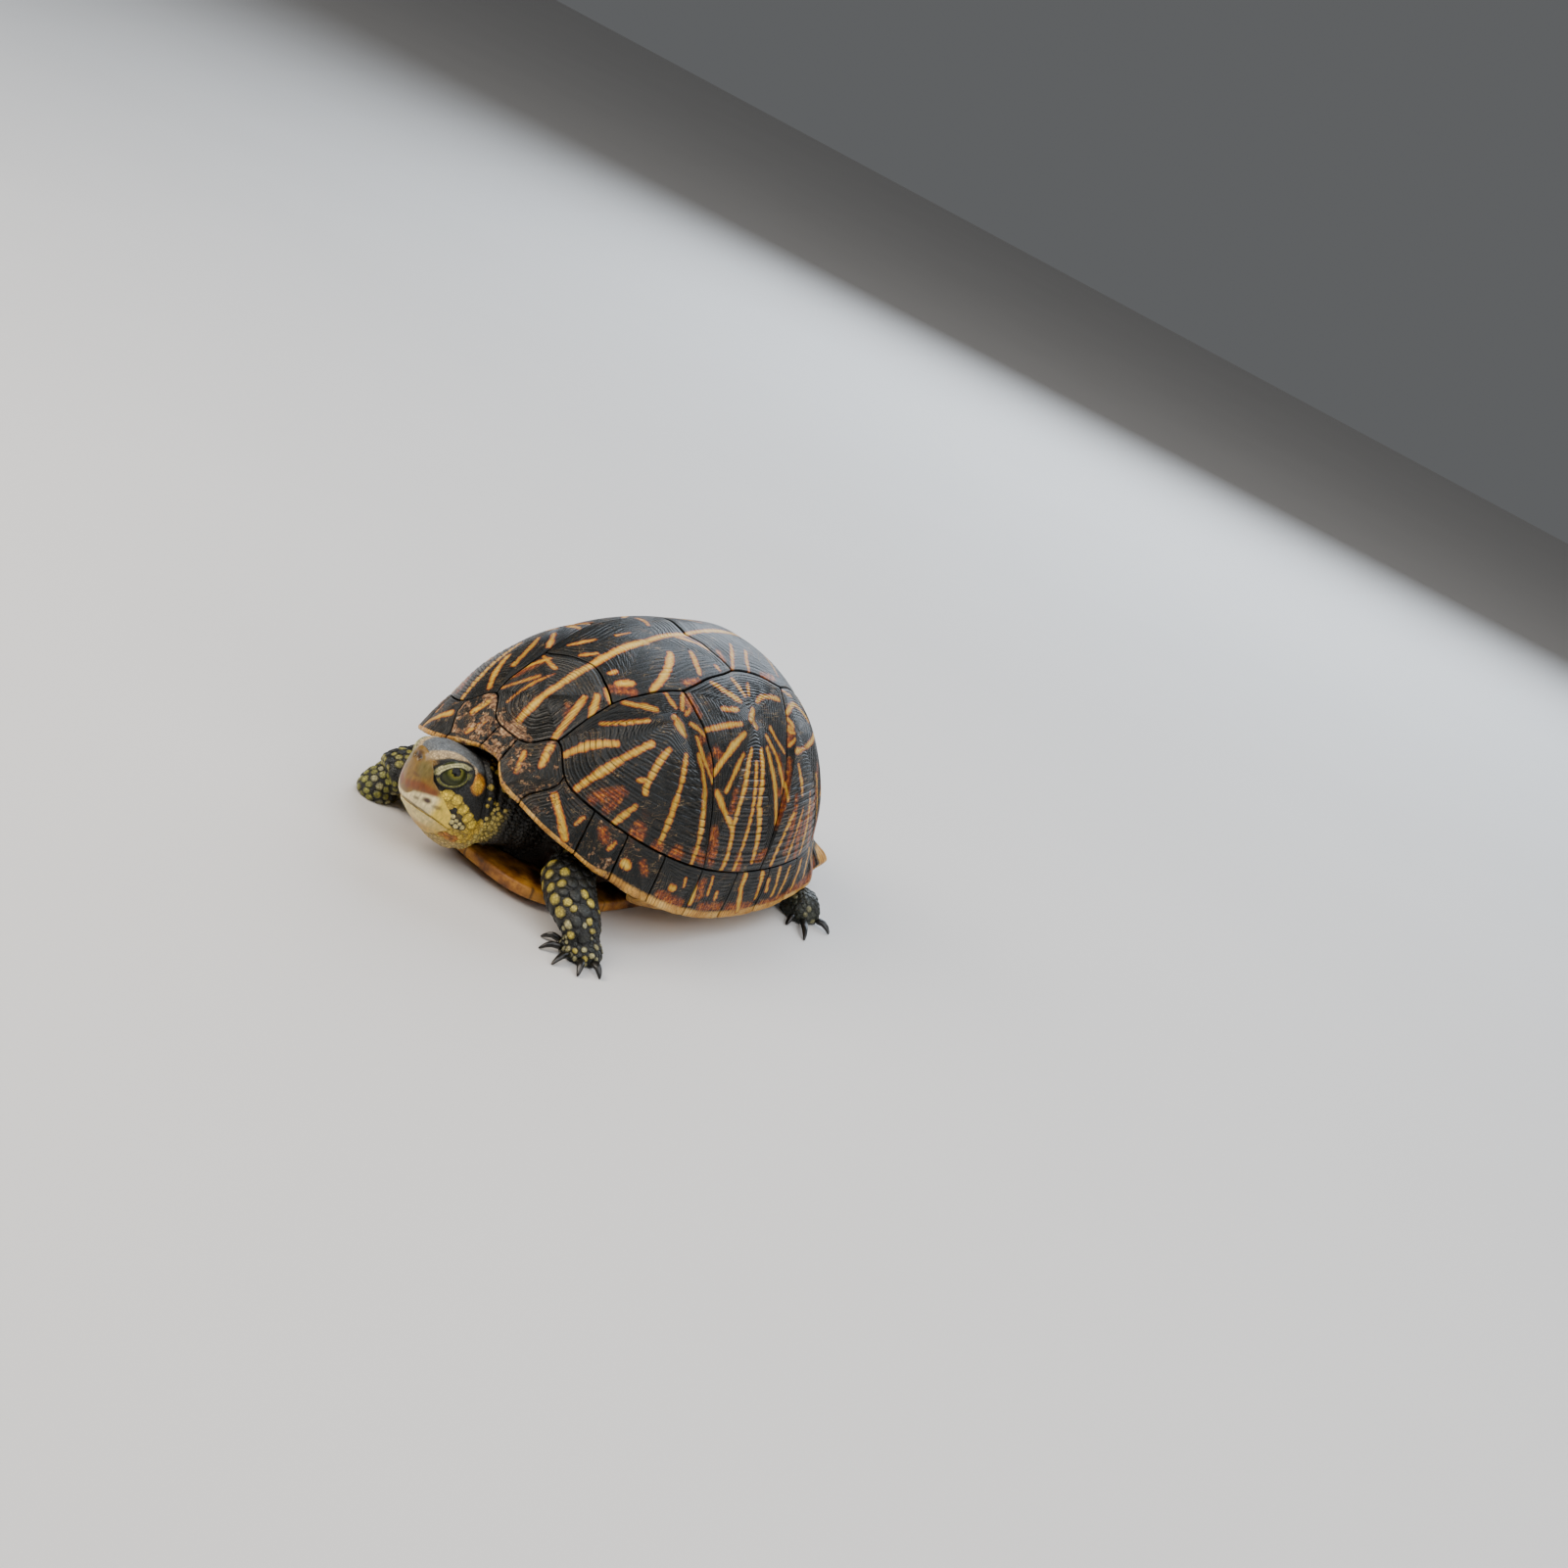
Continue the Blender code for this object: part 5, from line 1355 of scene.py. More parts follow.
# %% Limb folds
SCALE_DEPTH = 0.30  # mm
points, normals = mesh_arrays(skin)
part, along, lie, gap = regions(points)
crease = 0.30 * np.sin(along * 42 + 2.5 * ripple(points[:, 0], points[:, 2], 0.25, 4))
crease *= is_part(part, "leg") * ease(0.55, 0.2, along)
neck_fold = 0.35 * np.sin(along * 20 + 1.6 * ripple(points[:, 0], points[:, 2], 0.3, 9))
neck_fold *= is_part(part, "neck")
depth = np.where(is_part(part, "head"), 0.0, SCALE_DEPTH)
points += normals * (crease + neck_fold - depth)[:, None]
points[:, 2] = np.maximum(points[:, 2], 0.05)
place_vertices(skin, points)
apply_modifier(skin, "SMOOTH", factor=0.35, iterations=1)
print("skin sculpted,", len(skin.data.polygons), "faces")

# %% [markdown]
# ## The markings
#
# One function says what colour the animal is at any point, in linear light, and both the
# skin and the scales over it ask it, so their markings agree.  It starts from black-olive
# skin and lays patches over it: yellow cheeks and jaw, a black temple with an orange spot,
# pale green lids, a tan brow, and legs that are yellow in front and brown in the pockets.

# %% Tools for painting
def paint_over(colours, coats):
    """Lay coats of colour, each (hex colour, weight at each point), one over another."""
    for hex_colour, weight in coats:
        share = np.clip(weight * 1.0, 0, 1)[:, None]
        colours = colours + (np.array(linear(hex_colour)[:3]) - colours) * share
    return colours


def patch(points, centre, radii, soft=0.35):
    """1 inside an ellipsoid, fading to 0 over a soft edge."""
    reach = np.linalg.norm((points - np.array(centre)) / np.array(radii), axis=1)
    return ease(1 + soft, 1 - soft, reach)


def stroke(points, line, outer, inner):
    """1 nearer to a polyline than inner, fading to 0 at outer, both in mm."""
    return ease(outer, inner, line_distance(points, line))


def ring_of(margin, at, width):
    """A soft ring round the eye's opening, at that distance from it."""
    return np.exp(-((margin - at) / width) ** 2)


def above_cheek(face):
    """Height over the row of cheek plates, mm; it slopes down from the beak to the collar."""
    row = np.array(CHEEK_ROW)[::-1]
    return face[:, 2] - np.interp(face[:, 0], row[:, 0], row[:, 2])


# %% Where the marks are
# plates of the legs: their place in the world and their width, mm
LEG_SPOTS = [(25.8, -55.5, 17.3, 3.4), (31.3, -56.1, 18.0, 3.0), (28.3, -57.7, 15.1, 2.9),
             (24.6, -55.6, 13.6, 3.0), (33.8, -58.3, 15.9, 2.9), (31.5, -59.5, 13.4, 2.7),
             (27.8, -57.5, 11.1, 2.4), (38.7, -59.5, 13.5, 2.3), (35.3, -61.0, 12.2, 2.7),
             (38.6, -61.2, 10.1, 2.7), (41.0, -59.0, 12.7, 1.8), (42.7, -61.0, 8.9, 2.4),
             (45.3, -56.1, 11.0, 2.2), (47.4, -55.5, 9.0, 2.1), (49.4, -54.0, 5.3, 1.9),
             (44.5, -60.7, 6.5, 2.4), (45.4, -60.9, 3.0, 1.6), (47.4, -60.0, 3.6, 1.5),
             (50.1, -58.3, 2.4, 1.6), (51.0, -56.5, 3.9, 1.6)]
DARK_PLATES = [(38.5, -57.6, 15.2, 3.4), (42.7, -56.7, 13.0, 4.2), (43.6, -59.6, 10.5, 3.8),
               (46.5, -57.2, 7.0, 4.2), (35.2, -56.5, 16.6, 3.2)]
BRIGHT_EDGES = [[(39.4, -54.3, 16.0), (42.3, -52.6, 13.6)], [(42.4, -50.0, 12.3), (46.0, -49.6, 9.6)]]
# rows of plates and lines on the head's left side, in its own frame, mm
CHEEK_ROW = [(5.6, 10.1, 1.1), (3.5, 11.1, 0.6), (0.9, 11.9, -1.4), (-1.4, 12.3, -3.2),
             (-3.8, 12.3, -5.0)]
WEDGE = [(3.3, 11.0, -2.6), (1.5, 11.6, -3.5), (-0.4, 12.1, -4.3)]
CREAM_SCALES = [(2.3, 11.2, -4.0), (1.0, 11.5, -4.9), (-0.2, 11.8, -5.6), (-1.5, 11.9, -6.3),
                (0.4, 11.4, -6.4), (1.8, 11.0, -5.6)]
MOUTH = [(12.8, 0.0, -4.9), (12.0, 3.4, -5.0), (9.6, 6.2, -5.5), (6.1, 8.5, -6.7), (2.9, 9.9, -7.8)]
JAW_BAND = [(6.3, 4.9, -10.5), (4.4, 6.8, -11.1), (1.6, 8.8, -11.2), (-2.3, 9.8, -11.4)]
print(len(LEG_SPOTS), "yellow plates on the legs")


# %% Painting by place
def paint(points):
    """Linear colours of the skin at world points in millimetres."""
    part, along, _, _ = regions(points)
    head = to_head(points)
    face = both_sides(head)
    x, y, z = face.T
    near = ease(25.0, 21.0, np.linalg.norm(head, axis=1)) * is_part(part, "neck", "head")
    behind = behind_collar(head)
    on_head = near * (behind < 0.3)
    cheek = above_cheek(face)
    brow_line = np.array(BROW)[::-1]
    inside_brow = np.interp(x, brow_line[:, 0], brow_line[:, 1]) - y
    crown = ease(-0.5, 0.5, inside_brow) * ease(6.0, 7.5, z)
    snout = ease(9.3, 10.8, x) * ease(9.4, 8.0, z) * (crown < 0.5)
    temple = ease(1.2, 2.0, cheek) * patch(face, (-2.0, 12.6, 0.8), (4.6, 6, 5.0))
    coats = [
        # painted sheen: the crown's dark skin is painted light blue-grey for the pale reflection on top
        # of the head
        ("#707476", crown * ease(-6.0, 1.0, x)),
        ("#d4b03a", ease(1.7, 1.2, cheek) * ease(3.0, 4.0, y)),
        ("#c9ad68", ease(-11.6, -12.6, z)),
        ("#bd7620", stroke(face, JAW_BAND, 1.8, 1.2)),
        # painted shade: a dark brown line along the mouth and the gape furrow, for the shade in the gap
        # between the jaws
        ("#3a2412", stroke(face, MOUTH + GAPE[1:], 0.7, 0.3) * 0.8),
        ("#14110a", stroke(face, WEDGE, 1.1, 0.8)),
        ("#241a0e", stroke(face, CREAM_SCALES, 1.4, 1.0)),
        ("#8f6a2c", snout),
        ("#d6b98a", stroke(face, BROW[1:], 1.7, 0.9) * 0.95),
        ("#0e0e0b", temple),
        ("#c27d18", patch(face, (-1.1, 11.4, 6.5), (2.2, 3.4, 2.9), 0.2)),
        ("#dba528", patch(face, (-1.2, 11.6, 6.0), (1.4, 3, 1.8), 0.3)),
        ("#cfae36", stroke(face, CHEEK_ROW, 1.7, 1.2)),
    ]
    coats = [(colour, on_head * weight) for colour, weight in coats]

    _, up, out, margin = eye_map(head)
    around_eye = (np.linalg.norm(face - EYE, axis=1) < 6.3) * (out > -0.5)
    orbit = around_eye * ease(1.85, 1.5, margin)
    upper = orbit * ease(0.3, 1.1, up)
    lower = orbit * ease(0.3, -0.5, up)
    coats += [
        ("#10100b", orbit),
        ("#c6c08a", upper * ease(0.22, 0.36, margin) * ease(1.45, 1.2, margin)),
        ("#7d7b45", upper * ring_of(margin, 0.8, 0.1) * 0.7),
        ("#7b7a38", lower * ease(0.0, 0.1, margin) * ease(0.55, 0.4, margin)),
        ("#0f0f0a", around_eye * ring_of(margin, 1.72, 0.33)),
        ("#10100b", orbit * (margin < -0.15)),
    ]

    throat = near * (behind >= 0.3) * ease(1.0, -3.5, throat_height(head))
    throat *= ease(-13.0, -9.0, x)
    coats += [
        ("#8d7c34", throat),
        ("#a98a50", throat * ease(-8.0, -11.0, z) * 0.8),
        ("#3a2516", is_part(part, "leg", "tail") * ease(0.35, 0.10, along) * 0.8),
        ("#2c2f26", is_part(part, "hindleg", "tail") * ease(0.3, 0.6, along)),
        ("#2b1a10", part < 0),
    ]
    return paint_over(np.tile(linear("#15140e")[:3], (len(points), 1)), coats)


def add_colours(item, colours):
    """Store a linear colour for each vertex, for the material to read."""
    layer = item.data.attributes.new("marking", "FLOAT_COLOR", "POINT")
    rgba = np.concatenate([colours, np.ones((len(colours), 1))], axis=1)
    layer.data.foreach_set("color", rgba.astype(np.float32).ravel())


points, _ = mesh_arrays(skin)
add_colours(skin, paint(points))
print("painted", len(points), "points of skin")

# %% [markdown]
# Reptile skin between the scales is dry, dark and finely wrinkled.  Over the face it is
# tight and has a waxy sheen, with pores and creases under half a millimetre.

# %% Skin material
def skin_material(name, roughness, wrinkle, dim):
    """Dry skin or scale horn: wrinkle is the width of its cells in mm, dim its brightness."""
    leather = start_material(name, {"Roughness": roughness, "IOR": 1.45})
    place = node(leather, "TexCoord", output="Object")
    marking = node(leather, "Attribute", output="Color", attribute_name="marking")
    mottle = node(leather, "TexNoise", {"Vector": place, "Scale": 1 / (1.8 * MM), "Detail": 5.0,
                                        "Roughness": 0.65}, "Fac")
    cells = node(leather, "TexVoronoi", {"Vector": place, "Scale": 1 / (wrinkle * MM)},
                 "Distance", feature="DISTANCE_TO_EDGE")
    creases = node(leather, "MapRange", [cells, 0.0, 0.22])
    tone = node(leather, "MapRange", [mottle, 0.3, 0.7, 0.55 * dim, 1.25 * dim])
    shade = node(leather, "MapRange", [creases, 0.0, 1.0, 0.45, 1.0])
    colour = marking
    for darker in (tone, shade):
        colour = node(leather, "Mix", {0: 1.0, 6: colour, 7: darker}, 2, data_type="RGBA",
                      blend_type="MULTIPLY")
    feed(leather, "Base Color", colour)
    feed(leather, "Roughness", node(leather, "MapRange", [
        mottle, 0.3, 0.7, roughness - 0.08, roughness + 0.12]))
    height = node(leather, "Math", [mottle, 0.5, creases], operation="MULTIPLY_ADD")
    feed(leather, "Normal", node(leather, "Bump", {"Height": height, "Distance": 0.12 * MM,
                                                   "Strength": 0.7}))
    return leather


bare_skin = skin_material("waxy wrinkled turtle skin", 0.46, 0.75, 1.0)
face_outward(skin)
finish_piece(skin, bare_skin, FLESH)
print("skin finished")

# %% [markdown]
# ## Eyes
#
# A box turtle's eye is dark olive with a round pupil under a very clear, wet cornea.  The
# iris is drawn by rings round the gaze: distance from the gaze axis is stored on the mesh in
# millimetres.  The clear layer is the shader's own coat, over a ball with a slight bulge.

# %% The eyeballs
PUPIL = 1.15  # radius in mm
CORNEA = 0.20  # how far the clear front bulges
BALL = 4.22  # radius, a little less than the opened lids'
EYE_SEGMENTS, EYE_ROWS = 64, 48
GAZE = unit(np.array([0.29, 0.82, 0.48]))


def eyeball(side, sign):
    item, segment, row = sphere_to_shape("eyeball_" + side, EYE_SEGMENTS, EYE_ROWS)
    angle = row / EYE_ROWS * math.pi
    turn = segment / EYE_SEGMENTS * 2 * math.pi
    out = GAZE * [1, sign, 1]
    first = unit(np.cross(out, [0, 0, 1.0]))
    second = np.cross(out, first)
    radius = BALL + CORNEA * np.exp(-(angle / 0.55) ** 2)
    spread = np.cos(turn)[:, None] * first + np.sin(turn)[:, None] * second
    local = EYE * [1, sign, 1] + radius[:, None] * (out * np.cos(angle)[:, None]
                                                    + spread * np.sin(angle)[:, None])
    place_vertices(item, from_head(local))
    behind = angle > math.pi / 2
    add_attributes(item, from_gaze=EYE_RADIUS * np.sin(np.minimum(angle, math.pi / 2)) + behind * 5)
    face_outward(item)
    return item


eye_gloss = start_material("wet dark eye", {"Roughness": 0.4, "IOR": 1.38, "Coat Weight": 0.2,
                                            "Specular IOR Level": 0.2, "Coat Roughness": 0.08})
place = node(eye_gloss, "TexCoord", output="Object")
fibre = node(eye_gloss, "TexNoise", {"Vector": place, "Scale": 1 / (0.45 * MM), "Detail": 5.0}, "Fac")
from_gaze = node(eye_gloss, "Attribute", output="Fac", attribute_name="from_gaze")
ragged = node(eye_gloss, "Math", [fibre, 1.1, from_gaze], operation="MULTIPLY_ADD")
ring_tone = node(eye_gloss, "MapRange", [ragged, 0.55, 4.55])
feed(eye_gloss, "Base Color",
     node(eye_gloss, "ValToRGB", {"Fac": ring_tone},
          stops=[(PUPIL / 4, "#020202"), (PUPIL / 4 + 0.05, "#6a6420"), (0.46, "#565726"),
                 (0.62, "#23280f"), (0.80, "#34381a"), (0.95, "#1b1e10")]))
for side, sign in (("left", 1), ("right", -1)):
    finish_piece(eyeball(side, sign), eye_gloss, [f"eye_{side}"])
print("eyes done")

# %% [markdown]
# ## Beak
#
# The jaws are sheathed in horn: orange-brown above, with a rusty band, and cream below it
# down to the cutting edge; the lower jaw is cream with a darker rim.  Each is its packed
# solid, merged, remeshed finely and smoothed, so that the facets go and the parting line
# stays where it is.

# %% Beak sheaths
# place in the head frame, radii in mm, and how strong each dark mark is
DARK_MARKS = [((9.5, 7.6, -2.3), (1.0, 2, 0.8), 1.0), ((6.8, 9.3, -3.1), (1.2, 2, 0.6), 0.7),
              ((11.6, 5.9, -2.9), (0.6, 2, 0.5), 0.7), ((12.6, 2.6, 2.8), (0.9, 1.6, 0.6), 0.6),
              ((12.4, 0.0, 7.6), (1.5, 1.4, 1.1), 0.9)]


RUST_BAND = [(13.2, 1.5, -0.7), (11.7, 5.6, 0.7), (8.9, 8.1, 0.1)]


def paint_beak(face, lower):
    """Linear colours of the upper or lower sheath at points of the folded head frame."""
    x, y, z = face.T
    if lower:
        base = "#dfc986"
        coats = [("#b07a30", ease(-9.2, -11.0, z) * 0.8),
                 ("#c8a83c", ease(7.0, 3.5, x) * 0.7)]
    else:
        base = "#7c5d20"
        cream = np.interp(x, [7.3, 10.3, 12.6, 12.9], [-0.2, -0.6, -1.4, -3.4])
        coats = [("#6b6032", patch(face, (12.0, 4.6, 5.1), (2.2, 2.6, 2.2), 0.5) * 0.8),
                 ("#74380f", stroke(face, RUST_BAND, 2.0, 0.6) * 0.85),
                 ("#e6d39c", ease(0.5, -0.7, z - cream)),
                 ("#e6c444", ease(8.4, 6.2, x) * ease(1.2, 0.2, z))]
        coats += [("#3d2418", patch(face, place, radii, 0.6) * share)
                  for place, radii, share in DARK_MARKS]
    # painted shade: the sheath is darkened along the mouth line, for the shade between the jaws
    coats.append(("#3a240f", stroke(face, MOUTH, 0.55, 0.2) * 0.8))
    return paint_over(np.tile(linear(base)[:3], (len(face), 1)), coats)


beak_horn = start_material("satin beak horn", {"Roughness": 0.36, "IOR": 1.54,
                                               "Subsurface Weight": 0.06,
                                               "Subsurface Scale": 1.0 * MM})
place = node(beak_horn, "TexCoord", output="Object")
stretched = node(beak_horn, "Mapping", {"Vector": place, "Scale": (1.0, 1.0, 0.35)})
streaks = node(beak_horn, "TexNoise", {"Vector": stretched, "Scale": 1 / (0.9 * MM), "Detail": 5.0,
                                       "Roughness": 0.7}, "Fac")
marking = node(beak_horn, "Attribute", output="Color", attribute_name="marking")
tone = node(beak_horn, "MapRange", [streaks, 0.32, 0.68, 0.62, 1.18])
feed(beak_horn, "Base Color", node(beak_horn, "Mix", {0: 1.0, 6: marking, 7: tone}, 2,
                                   data_type="RGBA", blend_type="MULTIPLY"))
feed(beak_horn, "Roughness", node(beak_horn, "MapRange", [streaks, 0.3, 0.7, 0.28, 0.48]))
feed(beak_horn, "Normal", node(beak_horn, "Bump", {"Height": streaks, "Distance": 0.08 * MM,
                                                   "Strength": 0.6}))
NOSTRIL = np.array([13.0, 1.35, 7.0])
NOSTRIL_RADIUS = 0.62  # mm; the pit is 1 mm deep
for name in ("upper_beak", "lower_beak"):
    sheath = fattened_copy(name, 0.08)
    sheath.name = sheath.data.name = "sheath_" + name
    sheath.data.materials.clear()
    apply_modifier(sheath, "REMESH", mode="VOXEL", voxel_size=0.26 * MM)
    apply_modifier(sheath, "SMOOTH", factor=0.5, iterations=14)
    points, normals = mesh_arrays(sheath)
    face = both_sides(to_head(points))
    pit = np.exp(-(np.linalg.norm(face - NOSTRIL, axis=1) / NOSTRIL_RADIUS) ** 2)
    points -= normals * pit[:, None]
    place_vertices(sheath, points)
    face = both_sides(to_head(points))
    # painted shade: the nostril pit is painted near-black, for the shade inside the nostril
    add_colours(sheath, paint_over(paint_beak(face, name == "lower_beak"),
                                   [("#0c0806", pit * 1.6)]))
    face_outward(sheath)
    finish_piece(sheath, beak_horn, [name])
print("beak done")

# %% [markdown]
# ## Claws
#
# Thick black curved claws.  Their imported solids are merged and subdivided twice, which
# turns six flat sides into a round horn.

# %% Claw horn and claws
claw_horn = start_material("black claw horn", {"Roughness": 0.3, "IOR": 1.54})
place = node(claw_horn, "TexCoord", output="Object")
grain = node(claw_horn, "TexNoise", {"Vector": place, "Scale": 1 / (0.6 * MM), "Detail": 4.0}, "Fac")
tip = node(claw_horn, "SeparateXYZ", [place], "Z")
worn_tip = node(claw_horn, "MapRange", [tip, 0.1 * MM, 1.3 * MM, 0.15, 0.0])
tint = node(claw_horn, "Math", [grain, worn_tip], operation="ADD")
feed(claw_horn, "Base Color", node(claw_horn, "ValToRGB", {"Fac": tint},
                                   stops=[(0.35, "#080807"), (0.62, "#14110d"), (0.85, "#3d2a18")]))
feed(claw_horn, "Normal", node(claw_horn, "Bump", {"Height": grain, "Distance": 0.05 * MM}))
claws = [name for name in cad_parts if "claw" in name]
for name in claws:
    claw = fattened_copy(name, 0.2)
    claw.name = claw.data.name = "horn_" + name
    apply_modifier(claw, "SUBSURF", levels=2, render_levels=2)
    points, _ = mesh_arrays(claw)
    points[:, 2] = np.maximum(points[:, 2], 0.0)
    place_vertices(claw, points)
    face_outward(claw)
    finish_piece(claw, claw_horn, [name])
print(len(claws), "claws")

# %% [markdown]
# ## Scales
#
# Over the skin lie some two thousand separate scales, from plates three millimetres across
# down the forelegs to grains of one millimetre at the throat.  Roots are scattered by darts:
# a dart is kept if no earlier one is too near.  Each scale then takes the room its neighbours
# leave it, which is how real ones tile, and is laid on the skin and domed.  All is seeded,
# so every run is the same.

# %% How large the scales are at each place
COLLAR_EDGE = 0.2  # mm behind the collar's edge, where its scales begin
LEG_FRONT = np.array([0.0, -0.75, 0.55])  # where the front of a foreleg faces


def scale_size(points, normals):
    """Width of the scales in mm at each point; 0 where the skin is bare."""
    part, along, _, _ = regions(points)
    head = to_head(points)
    face = both_sides(head)
    size = np.zeros(len(points))
    ahead_of_collar = behind_collar(head) < COLLAR_EDGE
    on_head = is_part(part, "neck", "head") & ahead_of_collar
    _, _, out, margin = eye_map(head)
    orbit = (np.linalg.norm(face - EYE, axis=1) < 6.5) & (margin < 1.95) & (out > -0.5)
    cheek = on_head & (above_cheek(face) < 1.3) & (face[:, 1] > 3.0)
    size = np.where(cheek & ~orbit, 1.75, size)
    size = np.where(on_head & (head[:, 2] < -12.2), 1.3, size)
    collar = is_part(part, "neck", "head") & ~ahead_of_collar & (points[:, 1] < -47)
    size = np.where(collar, np.where(head[:, 2] > 5, 1.6, 1.15), size)
    front = ease(-0.15, 0.45, normals @ LEG_FRONT + normals[:, 0] * np.sign(points[:, 0]) * 0.15)
    foreleg = is_part(part, "foreleg")
    size = np.where(foreleg & (along > 0.12), 1.35 + 1.45 * front, size)
    size = np.where(foreleg & (along > 0.84), 1.5, size)
    size = np.where(is_part(part, "foreleg_right") & (along > 0.5), 2.3, size)
    size = np.where(is_part(part, "hindleg") & (along > 0.3), 1.75, size)
    size = np.where(is_part(part, "tail") & (points[:, 1] > 55), 1.6, size)
    return np.where(points[:, 2] < 0.5, 0.0, size)


# %% Unwrap the skin and throw the darts
DARTS = 60000
select(skin)
bpy.ops.object.mode_set(mode="EDIT")
bpy.ops.mesh.select_all(action="SELECT")
bpy.ops.uv.smart_project(angle_limit=math.radians(66), island_margin=0.001)
bpy.ops.object.mode_set(mode="OBJECT")
rng = np.random.default_rng(12)
mesh = skin.data
mesh.calc_loop_triangles()
count = len(mesh.loop_triangles)
corner, loops = np.empty((2, count * 3), dtype=int)
mesh.loop_triangles.foreach_get("vertices", corner)
mesh.loop_triangles.foreach_get("loops", loops)
corner, loops = corner.reshape(-1, 3), loops.reshape(-1, 3)
unwrap = np.empty(len(mesh.loops) * 2)
mesh.uv_layers.active.data.foreach_get("uv", unwrap)
unwrap = unwrap.reshape(-1, 2)
points, normals = mesh_arrays(skin)
a, b, c = (points[corner[:, k]] for k in range(3))
cross = np.cross(b - a, c - a)
area = np.linalg.norm(cross, axis=1) / 2
chance = area * (scale_size((a + b + c) / 3, unit(cross)) > 0)
picked = rng.choice(count, size=DARTS, p=chance / chance.sum())
mix_1, mix_2 = rng.random((2, DARTS))
flip = mix_1 + mix_2 > 1
mix_1, mix_2 = np.where(flip, 1 - mix_1, mix_1), np.where(flip, 1 - mix_2, mix_2)
darts = a[picked] + (b - a)[picked] * mix_1[:, None] + (c - a)[picked] * mix_2[:, None]
dart_normals = unit(normals[corner[picked]].mean(axis=1))
dart_uv = unwrap[loops[picked]].mean(axis=1)
sizes = scale_size(darts, dart_normals)
print("area for scales, mm2:", round(float(chance.sum())))

# %% No scales on the beak
SHEATH_GAP = 0.75  # mm kept free round it
sheath_points, sheath_faces = [], []
for name in ("upper_beak", "lower_beak"):
    sheath = bpy.data.objects["sheath_" + name]
    start = len(sheath_points)
    sheath_points += [tuple(place) for place in mesh_arrays(sheath)[0]]
    sheath_faces += [[start + i for i in face.vertices] for face in sheath.data.polygons]
sheath_tree = BVHTree.FromPolygons(sheath_points, sheath_faces)
on_face = to_head(darts)[:, 0] > -5
near_sheath = [bool(on_face[i]) and sheath_tree.find_nearest(tuple(dart), SHEATH_GAP)[0] is not None
               for i, dart in enumerate(darts)]
sizes[near_sheath] = 0.0
print("darts dropped at the beak:", sum(near_sheath))

# %% Keep the darts that have room
PLAIN, YELLOW_PLATE, DARK_PLATE, CHEEK_PLATE, CREAM_PLATE = range(5)
TOO_NEAR = 0.84  # of the two scales' mean width
CELL = 1.3  # side of the boxes in which neighbours are looked up, mm
WIDEST = 4.4
skin_tree = BVHTree.FromPolygons([tuple(v) for v in points], corner.tolist())
# place, width in mm and kind of the plates that have a place of their own
fixed = [(row[:3], row[3] * 1.15, kind) for kind, rows in
         ((YELLOW_PLATE, LEG_SPOTS), (DARK_PLATE, DARK_PLATES)) for row in rows]
fixed += [(tuple(from_head(np.array(place) * [1, side, 1])), width, kind)
          for kind, rows, width in ((CHEEK_PLATE, CHEEK_ROW, 3.1), (CREAM_PLATE, CREAM_SCALES, 1.3))
          for place in rows for side in (1, -1)]
roots, root_normals, root_uv, widths, kinds = [], [], [], [], []
cells = {}


def room_for(place, width):
    """Whether a scale of this width has room at this place."""
    reach = int(math.ceil(0.5 * (width + WIDEST) * TOO_NEAR / CELL))
    reach = min(reach, 2 if width < 2.2 else 3)
    near = range(-reach, reach + 1)
    here = tuple(int(v // CELL) for v in place)
    for i, j, k in itertools.product(near, near, near):
        for other in cells.get((here[0] + i, here[1] + j, here[2] + k), ()):
            need = 0.5 * (width + widths[other]) * TOO_NEAR
            gap = roots[other] - place
            if gap @ gap < need * need:
                return False
    return True


def keep(place, normal, uv, width, kind):
    cells.setdefault(tuple(int(v // CELL) for v in place), []).append(len(roots))
    for column, value in zip((roots, root_normals, root_uv, widths, kinds),
                             (place, normal, uv, width, kind)):
        column.append(value)


for place, width, kind in fixed:
    hit, normal, number, _ = skin_tree.find_nearest(place)
    keep(np.array(hit), np.array(normal), unwrap[loops[number]].mean(axis=0), width, kind)
for i in range(DARTS):
    if sizes[i] > 0 and room_for(darts[i], sizes[i]):
        keep(darts[i], dart_normals[i], dart_uv[i], sizes[i] * (0.9 + 0.2 * rng.random()), PLAIN)
roots, root_normals = np.array(roots), unit(np.array(root_normals))
root_uv, widths, kinds = np.array(root_uv), np.array(widths), np.array(kinds)
print("scales:", len(roots))

# %% [markdown]
# Each scale is a small dome of nine sides: a top, three rings and a skirt that sinks into
# the skin.  Its outline stops short of the lines half way to its neighbours, its far edge
# is lifted a little so that it overlaps the next like a tile, and all its corners are laid
# on the skin.  For the bake every scale is one small patch of UV at its root.

# %% Outlines
SIDES_OF_SCALE = 9
FARTHEST = 0.74  # of a scale's width: the most its outline may reach
OVER_GAP = 0.95  # how much of its room a scale takes
angles = np.linspace(0, 2 * math.pi, SIDES_OF_SCALE, endpoint=False)
root_tree = KDTree(len(roots))
for i, place in enumerate(roots):
    root_tree.insert(tuple(place), i)
root_tree.balance()
root_part, root_along, root_lie, _ = regions(roots)
head_roots = to_head(roots)
on_neck_or_head = is_part(root_part, "neck", "head")
root_lie = np.where(on_neck_or_head[:, None], -HEAD_FRAME[:3, 0], root_lie)
tangent = unit(root_lie - root_normals * np.sum(root_lie * root_normals, axis=1, keepdims=True))
across = np.cross(root_normals, tangent)
reach = np.tile(widths[:, None] * FARTHEST, (1, SIDES_OF_SCALE))
